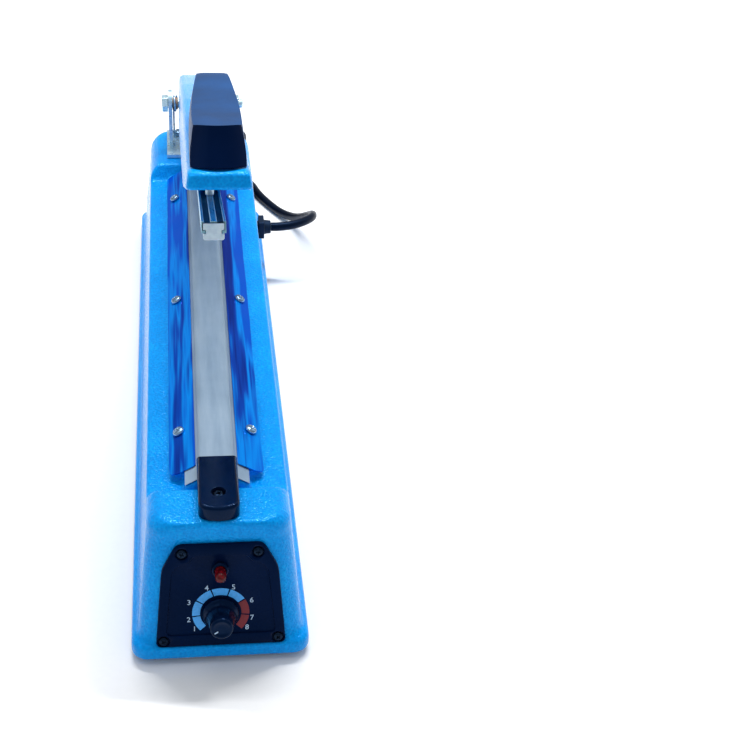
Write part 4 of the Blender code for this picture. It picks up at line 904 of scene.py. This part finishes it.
def make_panel():
    """Moulded face plate: bevelled rim round a sunk face."""
    plate = bmesh.new()
    levels = (
        (PANEL_CORNERS, 3.0, 0.1, -2.1), (PANEL_CORNERS, 3.0, 0.05, -0.7), (PANEL_CORNERS, 3.0, 0.25, -0.25),
        (PANEL_CORNERS, 3.0, 0.8, -0.02), (FACE_CORNERS, 2.6, -0.35, -0.02), (FACE_CORNERS, 2.6, 0.0, -0.12),
        (FACE_CORNERS, 2.6, 0.35, -0.75), (FACE_CORNERS, 2.6, 0.6, -0.85),
    )
    loft(plate, [panel_ring(*level) for level in levels])
    panel = add_piece("panel_plate", plate, PANEL_BLACK, "base", ("control_panel",), 30.0)
    sinks = bmesh.new()
    for across, up in PANEL_SCREWS:
        for side in (-1.0, 1.0):
            seat = panel_point(side * across, up - DIAL_UP)
            lathe(sinks, ((2.9, -1.15), (3.15, 0.3)), seat, -PANEL_INWARD, 40)
    cut(panel, sinks)


RING_INNER = 9.7
RING_OUTER = 13.4
RING_SECTION = (
    (RING_INNER, -0.05), (RING_INNER, 0.06), (RING_INNER + 0.15, 0.09),
    (RING_OUTER - 0.15, 0.09), (RING_OUTER, 0.06), (RING_OUTER, -0.05),
)
RING_MARKS = (-135.0, -96.4, -57.9, -19.3, 19.3, 57.9, 96.4, 135.0)
RING_GAP = 1.6           # degrees left dark at each side of a mark
FACE_OUT = -0.85         # the panel's sunk face


def dial_point(radius, clock_angle, out):
    """A point on the panel's face, by clockwise degrees from straight up."""
    angle = math.radians(clock_angle)
    return panel_point(radius * math.sin(angle), radius * math.cos(angle), out)


def make_dial_ring():
    """Seven printed segments, the last two red."""
    for number, (start, end) in enumerate(zip(RING_MARKS, RING_MARKS[1:]), start=1):
        segment = bmesh.new()
        rings = []
        for step in range(17):
            angle = start + RING_GAP + (end - start - 2.0 * RING_GAP) * step / 16
            rings.append([dial_point(radius, angle, FACE_OUT + lift) for radius, lift in RING_SECTION])
        loft(segment, rings)
        ink = RING_BLUE if number <= 5 else RING_RED
        add_piece(f"dial_segment_{number}", segment, ink, "base")


NUMERALS = (
    # number, clockwise degrees from straight up, distance from the dial's centre
    ("1", -124.0, 15.0), ("2", -102.0, 15.4), ("3", -67.0, 16.0), ("4", -25.0, 15.1),
    ("5", 24.0, 15.0), ("6", 67.0, 15.8), ("7", 103.0, 15.0), ("8", 125.0, 15.0),
)


def make_numerals():
    """Raised printed numbers round the dial."""
    height = 3.8
    for number, clock_angle, radius in NUMERALS:
        text = bpy.data.curves.new(f"numeral_{number}", "FONT")
        text.body = number
        text.size = height
        text.extrude = 0.04
        text.offset = 0.02
        text.align_x = "CENTER"
        text.align_y = "CENTER"
        source = bpy.data.objects.new("text", text)
        bpy.context.scene.collection.objects.link(source)
        depsgraph = bpy.context.evaluated_depsgraph_get()
        mesh_data = bmesh.new()
        mesh_data.from_mesh(bpy.data.meshes.new_from_object(source.evaluated_get(depsgraph)))
        bpy.data.objects.remove(source)
        centre = dial_point(radius, clock_angle, 0.0) - DIAL
        for vert in mesh_data.verts:
            x, y, z = vert.co
            vert.co = panel_point(x, y, FACE_OUT + 0.03 + z) + centre
        add_piece(f"numeral_{number}", mesh_data, PRINT_WHITE, "base")


KNOB_AT = -122.0         # degrees from straight up, as photographed


def make_knob():
    """Tapered pointer knob over a wide skirt, with a white dash on its cap."""
    outward = -PANEL_INWARD
    knob = bmesh.new()
    profile = (
        (3.2, -0.2), (8.2, -0.2), (8.45, 0.1), (8.5, 0.9), (8.3, 1.35), (7.9, 1.75), (7.3, 2.3), (6.7, 3.1),
        (6.35, 4.0), (6.15, 5.0), (5.95, 7.0), (5.75, 9.5), (5.55, 12.0), (5.35, 12.9), (4.9, 13.45),
        (4.3, 13.65), (3.9, 13.6), (3.7, 13.45), (1.5, 13.4), (0.0, 13.4),
    )
    lathe(knob, profile, DIAL, outward, 96)
    piece = add_piece("dial_knob", knob, GLOSS, "knob", ("timer_knob",), 50.0)
    dash = bmesh.new()
    heading = math.radians(KNOB_AT)
    rings = []
    for reach in (1.9, 2.1, 3.7, 3.9):
        half = 0.30 if reach in (2.1, 3.7) else 0.16
        ring = []
        for side, out in ((-half, 13.35), (half, 13.35), (half, 13.68), (-half, 13.68)):
            across = reach * math.sin(heading) + side * math.cos(heading)
            up = reach * math.cos(heading) - side * math.sin(heading)
            ring.append(panel_point(across, up, out))
        rings.append(ring)
    loft(dash, rings)
    add_piece("knob_dash", dash, PRINT_WHITE, "knob")


LAMP_UP = 41.3 - DIAL_UP


def make_lamp():
    """Red domed lens in a black bezel."""
    seat = panel_point(0.0, LAMP_UP, FACE_OUT)
    outward = -PANEL_INWARD
    bezel = bmesh.new()
    lathe(bezel, (
        (2.9, -2.0), (3.4, -2.0), (4.05, -0.1), (4.1, 1.2), (3.95, 1.7), (3.6, 2.1), (3.1, 2.2), (2.85, 2.0),
        (2.8, 1.0),
    ), seat, outward, 64)
    add_piece("lamp_bezel", bezel, GLOSS, "base")
    lens = bmesh.new()
    profile = [(2.6, 0.4), (2.7, 1.0), (2.7, 7.2)]
    for step in range(1, 9):
        angle = math.radians(90.0 * step / 8)
        profile.append((2.7 * math.cos(angle), 7.2 + 2.6 * math.sin(angle)))
    lathe(lens, profile, seat, outward, 64)
    piece = add_piece("lamp_lens", lens, LENS, "base", ("pilot_lamp",), 60.0)


def cross_screw(name, node, seat, axis, radius, height, material, turn=0.5):
    """Pan-head screw with a tapering cross recess."""
    screw = bmesh.new()
    lathe(screw, (
        (0.45 * radius, -4.0), (0.5 * radius, 0.0), (0.93 * radius, 0.0), (radius, 0.12 * height),
        (radius, 0.35 * height), (0.96 * radius, 0.52 * height), (0.86 * radius, 0.72 * height),
        (0.70 * radius, 0.88 * height), (0.45 * radius, 0.97 * height), (0.0, height),
    ), seat, axis, 48)
    piece = add_piece(name, screw, material, "base", (node,), 50.0)
    frame_turn = Vector(axis).normalized().to_track_quat("Z", "Y").to_matrix()
    for quarter in (0.0, 0.5):
        recess = bmesh.new()
        angle = math.pi * quarter + turn
        along = Vector((math.cos(angle), math.sin(angle), 0.0))
        side = Vector((-math.sin(angle), math.cos(angle), 0.0))
        rings = []
        for reach, half, level in ((0.26, 0.09, 0.30), (0.62, 0.15, 1.2)):
            ring = []
            for sign_along, sign_side in ((-1, -1), (1, -1), (1, 1), (-1, 1)):
                local = along * (sign_along * reach * radius) + side * (sign_side * half * radius)
                ring.append(Vector(seat) + frame_turn @ (local + Vector((0.0, 0.0, level * height))))
            rings.append(ring)
        loft(recess, rings)
        cut(piece, recess)
    return piece


def make_screws():
    """Screws of the panel, the end covers, the guards and the bottom plate."""
    number = 0
    for across, up in PANEL_SCREWS:
        for side in (-1.0, 1.0):
            number += 1
            seat = panel_point(side * across, up - DIAL_UP, -1.1)
            cross_screw(
                f"face_screw_{number}", f"panel_screw_{number}", seat, -PANEL_INWARD, 2.4, 1.5, BLACK_STEEL,
                turn=0.4 * number,
            )
    for end in ("front", "rear"):
        low, high = box(f"{end}_cover_screw")
        centre = 0.5 * (low + high)
        height = 1.9
        seat = (centre.x, centre.y, high.z - height)
        cross_screw(
            f"{end}_cap_screw", f"{end}_cover_screw", seat, (0.0, 0.0, 1.0), 2.9, height, BLACK_STEEL,
        )
    for index in range(1, 7):
        centre = middle(f"guard_screw_{index}")
        side = math.copysign(1.0, centre.x)
        axis = Vector((side * math.sin(GUARD_SLOPE), 0.0, math.cos(GUARD_SLOPE)))
        seat = guard_point(side, abs(centre.x), centre.y, 0.9)
        cross_screw(
            f"guard_pan_screw_{index}", f"guard_screw_{index}", seat, axis, 3.1, 2.1, SCREW_STEEL,
            turn=0.7 * index,
        )
    for index in (1, 2):
        low, high = box(f"plate_screw_{index}")
        centre = 0.5 * (low + high)
        seat = (centre.x, centre.y, low.z + 1.6)
        cross_screw(
            f"under_screw_{index}", f"plate_screw_{index}", seat, (0.0, 0.0, -1.0), 2.8, 1.6, SCREW_STEEL,
        )


def make_feet():
    """Rubber feet, hollow round their screws."""
    for number in range(1, 5):
        low, high = box(f"foot_{number}")
        centre = 0.5 * (low + high)
        radius = 0.5 * (high.x - low.x)
        tall = high.z - low.z
        foot = bmesh.new()
        lathe(foot, (
            (0.0, 0.9), (0.32 * radius, 0.9), (0.36 * radius, 0.1), (0.4 * radius, 0.0),
            (0.82 * radius, 0.0), (0.88 * radius, 0.15), (radius - 0.05, 0.75 * tall),
            (radius, tall - 0.35), (radius - 0.3, tall),
            (0.0, tall),
        ), (centre.x, centre.y, low.z), sides=64)
        piece = add_piece(f"rubber_foot_{number}", foot, RUBBER, "base", (f"foot_{number}",), 50.0)


# ---------------------------------------------------------------- sealing platform

GUARD_INNER = (9.7, 77.9)
GUARD_OUTER = (22.7, 70.3)
GUARD_SLOPE = math.atan2(GUARD_INNER[1] - GUARD_OUTER[1], GUARD_OUTER[0] - GUARD_INNER[0])


def guard_point(side, x, y, lift):
    """A point above the underside of a guard's sloping sheet."""
    share = (x - GUARD_INNER[0]) / (GUARD_OUTER[0] - GUARD_INNER[0])
    height = GUARD_INNER[1] + share * (GUARD_OUTER[1] - GUARD_INNER[1]) - math.cos(GUARD_SLOPE)
    return Vector((side * (x + lift * math.sin(GUARD_SLOPE)), y, height + lift * math.cos(GUARD_SLOPE)))


def make_guards():
    """Thin sloping sheets whose film shows the slight waves of hand folding."""
    rows = 200
    columns = 12
    corner = 4.0
    for side, name, phase in ((-1.0, "left", 0.0), (1.0, "right", 1.9)):
        low, high = box(f"guard_{name}")
        grid = []
        for row in range(rows + 1):
            y = low.y + (high.y - low.y) * row / rows
            outer = GUARD_OUTER[0]
            for end in (low.y, high.y):
                if abs(y - end) < corner:
                    outer -= corner - math.sqrt(corner ** 2 - (corner - abs(y - end)) ** 2)
            line = []
            for column in range(columns + 1):
                share = column / columns
                x = GUARD_INNER[0] + 0.25 + (outer - 0.5 - GUARD_INNER[0]) * share
                ripple = 0.16 * math.sin(0.043 * y + phase) + 0.09 * math.sin(0.13 * y + 3.1 * share + phase)
                ripple += 0.07 * math.sin(0.31 * y - 2.0 * share + 2.0 * phase)
                lift = 0.42 + ripple * (0.25 + 0.75 * share)
                line.append(guard_point(side, x, y, lift))
            grid.append(line)
        sheet = bmesh.new()
        fill_grid(sheet, grid)
        piece = add_piece(f"film_guard_{name}", sheet, FILM, "base", (f"guard_{name}",), 80.0)
        thicken(piece, 0.45)


CLOTH_HALF = 15.3
CLOTH_INSET = 0.2        # of each end from the end of its CAD node
CLOTH_PROFILE = (
    # half section of the cloth's upper side: across, height
    (0.0, 79.5), (2.2, 79.48), (4.2, 79.4), (5.8, 79.28), (7.0, 79.1), (7.8, 78.75), (8.3, 78.2),
    (8.6, 77.4),
    (9.0, 76.9), (9.9, 76.55), (12.0, 75.3), (CLOTH_HALF, 73.45),
)


def make_cloth():
    """Coated cloth over the element, its free edges tucked under the guards."""
    low, high = box("ptfe_cloth")
    length = high.y - low.y - 2.0 * CLOTH_INSET
    rows = 240
    section = [(-x, z) for x, z in reversed(CLOTH_PROFILE[1:])] + list(CLOTH_PROFILE)
    grid = []
    for row in range(rows + 1):
        y = low.y + CLOTH_INSET + length * row / rows
        line = []
        for x, z in section:
            near_top = max(1.0 - abs(x) / 9.0, 0.0)
            ripple = 0.05 * math.sin(0.21 * y) + 0.04 * math.sin(0.083 * y + 0.35 * x)
            height = min(z - 0.12 + ripple * (0.3 + near_top), z)
            line.append((x, y, height))
        grid.append(line)
    sheet = bmesh.new()
    fill_grid(sheet, grid)
    piece = add_piece("platform_cloth", sheet, CLOTH, "base", ("ptfe_cloth",), 80.0)
    thicken(piece, 0.2)


CAP_BOW = 8.2            # length of the end caps' bowed end


def cap_outline(half_width, square_end, round_end, inset, steps=48):
    """Plan outline with a straight end and a bowed end."""
    toward = math.copysign(1.0, round_end - square_end)
    reach = CAP_BOW - inset
    shoulder = round_end - toward * CAP_BOW
    half = half_width - inset
    points = [(-half, square_end), (half, square_end)]
    for step in range(steps + 1):
        angle = math.pi * step / steps
        points.append((half * math.cos(angle), shoulder + toward * reach * math.sin(angle) ** 0.55))
    return points


def make_end_caps():
    """Polished black caps over both ends of the platform, with sunk screws."""
    for end in ("front", "rear"):
        low, high = box(f"{end}_end_cover")
        square_end, round_end = (high.y, low.y) if end == "front" else (low.y, high.y)
        levels = (
            (0.3, low.z), (0.0, low.z + 0.3), (0.0, high.z - 1.9), (0.12, high.z - 1.2),
            (0.42, high.z - 0.6), (0.9, high.z - 0.2), (1.6, high.z),
        )
        cap = bmesh.new()
        loft(cap, [
            [(x, y, z) for x, y in cap_outline(high.x, square_end, round_end, inset)] for inset, z in levels
        ])
        piece = add_piece(f"{end}_cap", cap, GLOSS, "base", (f"{end}_end_cover",), 55.0)
        rail_low, rail_high = box("platform_rail")
        tunnel = bmesh.new()
        gap = Vector((0.4, 0.4, 0.0))
        add_block(tunnel, rail_low - gap, rail_high + gap)
        cut(piece, tunnel)
        screw = middle(f"{end}_cover_screw")
        well = bmesh.new()
        lathe(well, (
            (1.7, 60.0), (1.7, high.z - 2.6), (3.2, high.z - 2.6), (3.3, high.z - 0.2), (3.7, high.z + 0.2),
        ), (screw.x, screw.y, 0.0))
        cut(piece, well)
        flatten_shading(piece)


# ---------------------------------------------------------------- hinge

def make_hinge():
    """Bracket with its bolts, and the pivot bolt with its nut, washer and bush."""
    for name, node, material, width in (
        ("pivot_bracket", "hinge_bracket", ZINC, 0.35),
        ("pivot_bolt", "hinge_bolt", ZINC, 0.35),
        ("pivot_nut", "hinge_nut", ZINC, 0.4),
        ("flange_bolt_1", "bracket_screw_1", SCREW_STEEL, 0.3),
        ("flange_bolt_2", "bracket_screw_2", SCREW_STEEL, 0.3),
    ):
        bevelled_piece(name, node, material, "base", width)
    low, high = box("hinge_washer")
    bolt_radius = 3.15
    washer = bmesh.new()
    outline = (
        (bolt_radius, low.x), (6.3, low.x), (6.5, low.x + 0.15),
        (6.5, high.x - 0.15), (6.3, high.x), (bolt_radius, high.x),
    )
    turned_rings(washer, outline, HINGE)
    piece = add_piece("pivot_washer", washer, SCREW_STEEL, "base", ("hinge_washer",))
    bush = bmesh.new()
    turned_rings(bush, (
        (bolt_radius, -18.2), (3.9, -18.2), (4.05, -18.0), (4.05, -14.7), (3.9, -14.5), (bolt_radius, -14.5),
    ), HINGE)
    add_piece("pivot_bush", bush, BUSH, "base")


def turned_rings(mesh_data, outline, centre, sides=64):
    """Turn a closed (radius, x) outline about the hinge's line."""
    rings = []
    for step in range(sides):
        angle = math.tau * step / sides
        rings.append([
            (x, centre.y + radius * math.cos(angle), centre.z + radius * math.sin(angle))
            for radius, x in outline
        ])
    loft(mesh_data, rings, closed=False)


def make_spring():
    """Torsion spring: a leg up from the bracket's foot, then the coil round the bush."""
    wire = 0.6
    coil = 4.9
    start_x = -17.4
    pitch = 1.7
    turns = 1.25
    low, _ = box("return_spring")
    points = [
        Vector((start_x, HINGE.y + coil, low.z + 0.1)), Vector((start_x, HINGE.y + coil, HINGE.z - 1.0)),
    ]
    for step in range(41):
        turned = turns * step / 40
        points.append(Vector((
            start_x + pitch * turned,
            HINGE.y + coil * math.cos(math.tau * turned),
            HINGE.z + coil * math.sin(math.tau * turned),
        )))
    piece = add_object(
        "torsion_spring", wire_curve("torsion_spring", points, wire, 4), ZINC, "base", ("return_spring",),
    )


# ---------------------------------------------------------------- arm

def arm_point(x, forward, up):
    """A point of the closed arm, swung up to its resting place."""
    turn = Matrix.Rotation(-ARM_RAISED, 3, "X")
    return HINGE + turn @ Vector((x, -forward, up))


ARM_TOP = (
    (180.0, 18.4), (240.0, 14.6), (262.0, 13.0), (300.0, 8.6), (335.0, 4.3), (352.0, 2.7), (355.6, 2.1),
)
HANDLE_X = 2.6
HANDLE_STEPS = 16        # of the mesh, across a section and up it
HANDLE_SECTIONS = (
    # forward at the foot, forward at the top, height, foot half width, top half width, bow
    (355.5, 347.5, 21.2, 12.4, 10.5, 6.0),
    (341.0, 339.0, 22.4, 12.5, 10.9, 4.0),
    (320.0, 320.0, 25.0, 12.5, 11.0, 2.0),
    (300.0, 300.0, 28.6, 12.3, 10.5, 0.0),
    (275.0, 275.0, 33.6, 11.8, 9.2, 0.0),
    (257.0, 257.0, 36.9, 11.2, 8.0, 0.0),
    (243.0, 244.0, 36.4, 10.6, 7.2, 0.0),
    (231.0, 234.0, 31.0, 9.6, 6.2, 0.0),
    (222.0, 226.0, 21.0, 8.6, 5.4, 0.0),
)


def arm_top(forward):
    """Height of the casting's top at a distance forward of the hinge."""
    for (r_low, top_low), (r_high, top_high) in zip(ARM_TOP, ARM_TOP[1:]):
        if r_low <= forward <= r_high:
            return top_low + (top_high - top_low) * (forward - r_low) / (r_high - r_low)
    return ARM_TOP[-1][1]


def handle_grid(foot_forward, top_forward, high, foot_half, top_half, bow):
    """A section of the cap as rows of points; the front ones bow forward and lean back."""
    low = arm_top(foot_forward - bow) + 0.6
    levels = (
        (foot_half, 0.0), (foot_half - 0.1, 0.35), (top_half + 0.35, 0.92),
        (top_half - 0.5, 0.985), (0.55 * top_half, 1.0),
    )
    rows = []
    last = len(levels) - 1
    for level in range(HANDLE_STEPS + 1):
        half_width, share = between(levels, last * level / HANDLE_STEPS)
        share = min(share, 1.0)
        row = []
        for step in range(HANDLE_STEPS + 1):
            x = half_width * (2.0 * step / HANDLE_STEPS - 1.0)
            bowed = bow * (1.0 + 0.4 * share) * (x / foot_half) ** 2
            forward = foot_forward + share * (top_forward - foot_forward) - bowed
            row.append(arm_point(HANDLE_X + x, forward, low + share * (high - low)))
        rows.append(row)
    return rows


def grid_loft(mesh_data, grids):
    """Skin equal grids by their outer edges, close both ends with the whole grid, return the first end."""
    rows = len(grids[0])
    columns = len(grids[0][0])
    edge = [(0, column) for column in range(columns)]
    edge += [(row, columns - 1) for row in range(1, rows)]
    edge += [(rows - 1, column) for column in range(columns - 2, -1, -1)]
    edge += [(row, 0) for row in range(rows - 2, 0, -1)]
    every = [(row, column) for row in range(rows) for column in range(columns)]
    built = []
    for number, grid in enumerate(grids):
        places = every if number in (0, len(grids) - 1) else edge
        built.append({place: mesh_data.verts.new(grid[place[0]][place[1]]) for place in places})
    for lower, upper in zip(built, built[1:]):
        for here, there in zip(edge, edge[1:] + edge[:1]):
            mesh_data.faces.new((lower[here], lower[there], upper[there], upper[here]))
    ends = []
    for end in (built[0], built[-1]):
        for row in range(rows - 1):
            for column in range(columns - 1):
                corners = ((row, column), (row, column + 1), (row + 1, column + 1), (row + 1, column))
                ends.append(mesh_data.faces.new([end[corner] for corner in corners]))
    return ends[:len(ends) // 2]


def make_handle():
    """Black cap: rough moulded top, polished front; the top's lighter navy colour is a painted reflection.
    """
    cap = bmesh.new()
    steps = 64
    last = len(HANDLE_SECTIONS) - 1
    front = grid_loft(cap, [
        handle_grid(*between(HANDLE_SECTIONS, last * step / steps)) for step in range(steps + 1)
    ])
    for face in front:
        face.material_index = 1
    handle = add_piece("handle_grip", cap, HANDLE_MATTE_PAINTED_SHEEN, "arm", ("handle_cap",), 180.0)
    handle.data.materials.append(HANDLE_GLOSS)
    break_edges(handle, 0.5, 40.0)
    flatten_shading(handle)
    bevelled_piece("grip_screw", "handle_screw", SCREW_STEEL, "arm", 0.3)


BAR_TOP = -20.2          # the channel's top, above the hinge when the arm is closed


def make_press_bar():
    """Drawn channel whose two grooves along its top get a near-black material as painted shade, and the
    silicone pad under it.
    """
    bar = bevelled_piece("press_channel", "press_bar", ALUMINIUM, "arm", 0.16)
    bar.data.materials.append(GROOVE_PAINTED_SHADE)
    back = Matrix.Rotation(ARM_RAISED, 3, "X")
    # painted shade: the upward groove floors take the dark material
    for face in bar.data.polygons:
        closed = back @ (face.center / MM - HINGE)
        if 0.3 < BAR_TOP - closed.z < 0.7 and (back @ face.normal).z > 0.9:
            face.material_index = 1
    bevelled_piece("silicone_pad", "silicone_strip", SILICONE, "arm", 0.25)


def make_gland():
    """Bush that the mains cord leaves through."""
    bevelled_piece("cord_gland", "cable_gland", MATTE, "base", 0.6)


# ---------------------------------------------------------------- all together

make_camera()
make_cord()
make_studio()
paint_hidden_nodes()
make_castings()
make_panel()
make_dial_ring()
make_numerals()
make_knob()
make_lamp()
make_screws()
make_feet()
make_guards()
make_cloth()
make_end_caps()
make_hinge()
make_spring()
make_handle()
make_press_bar()
make_gland()
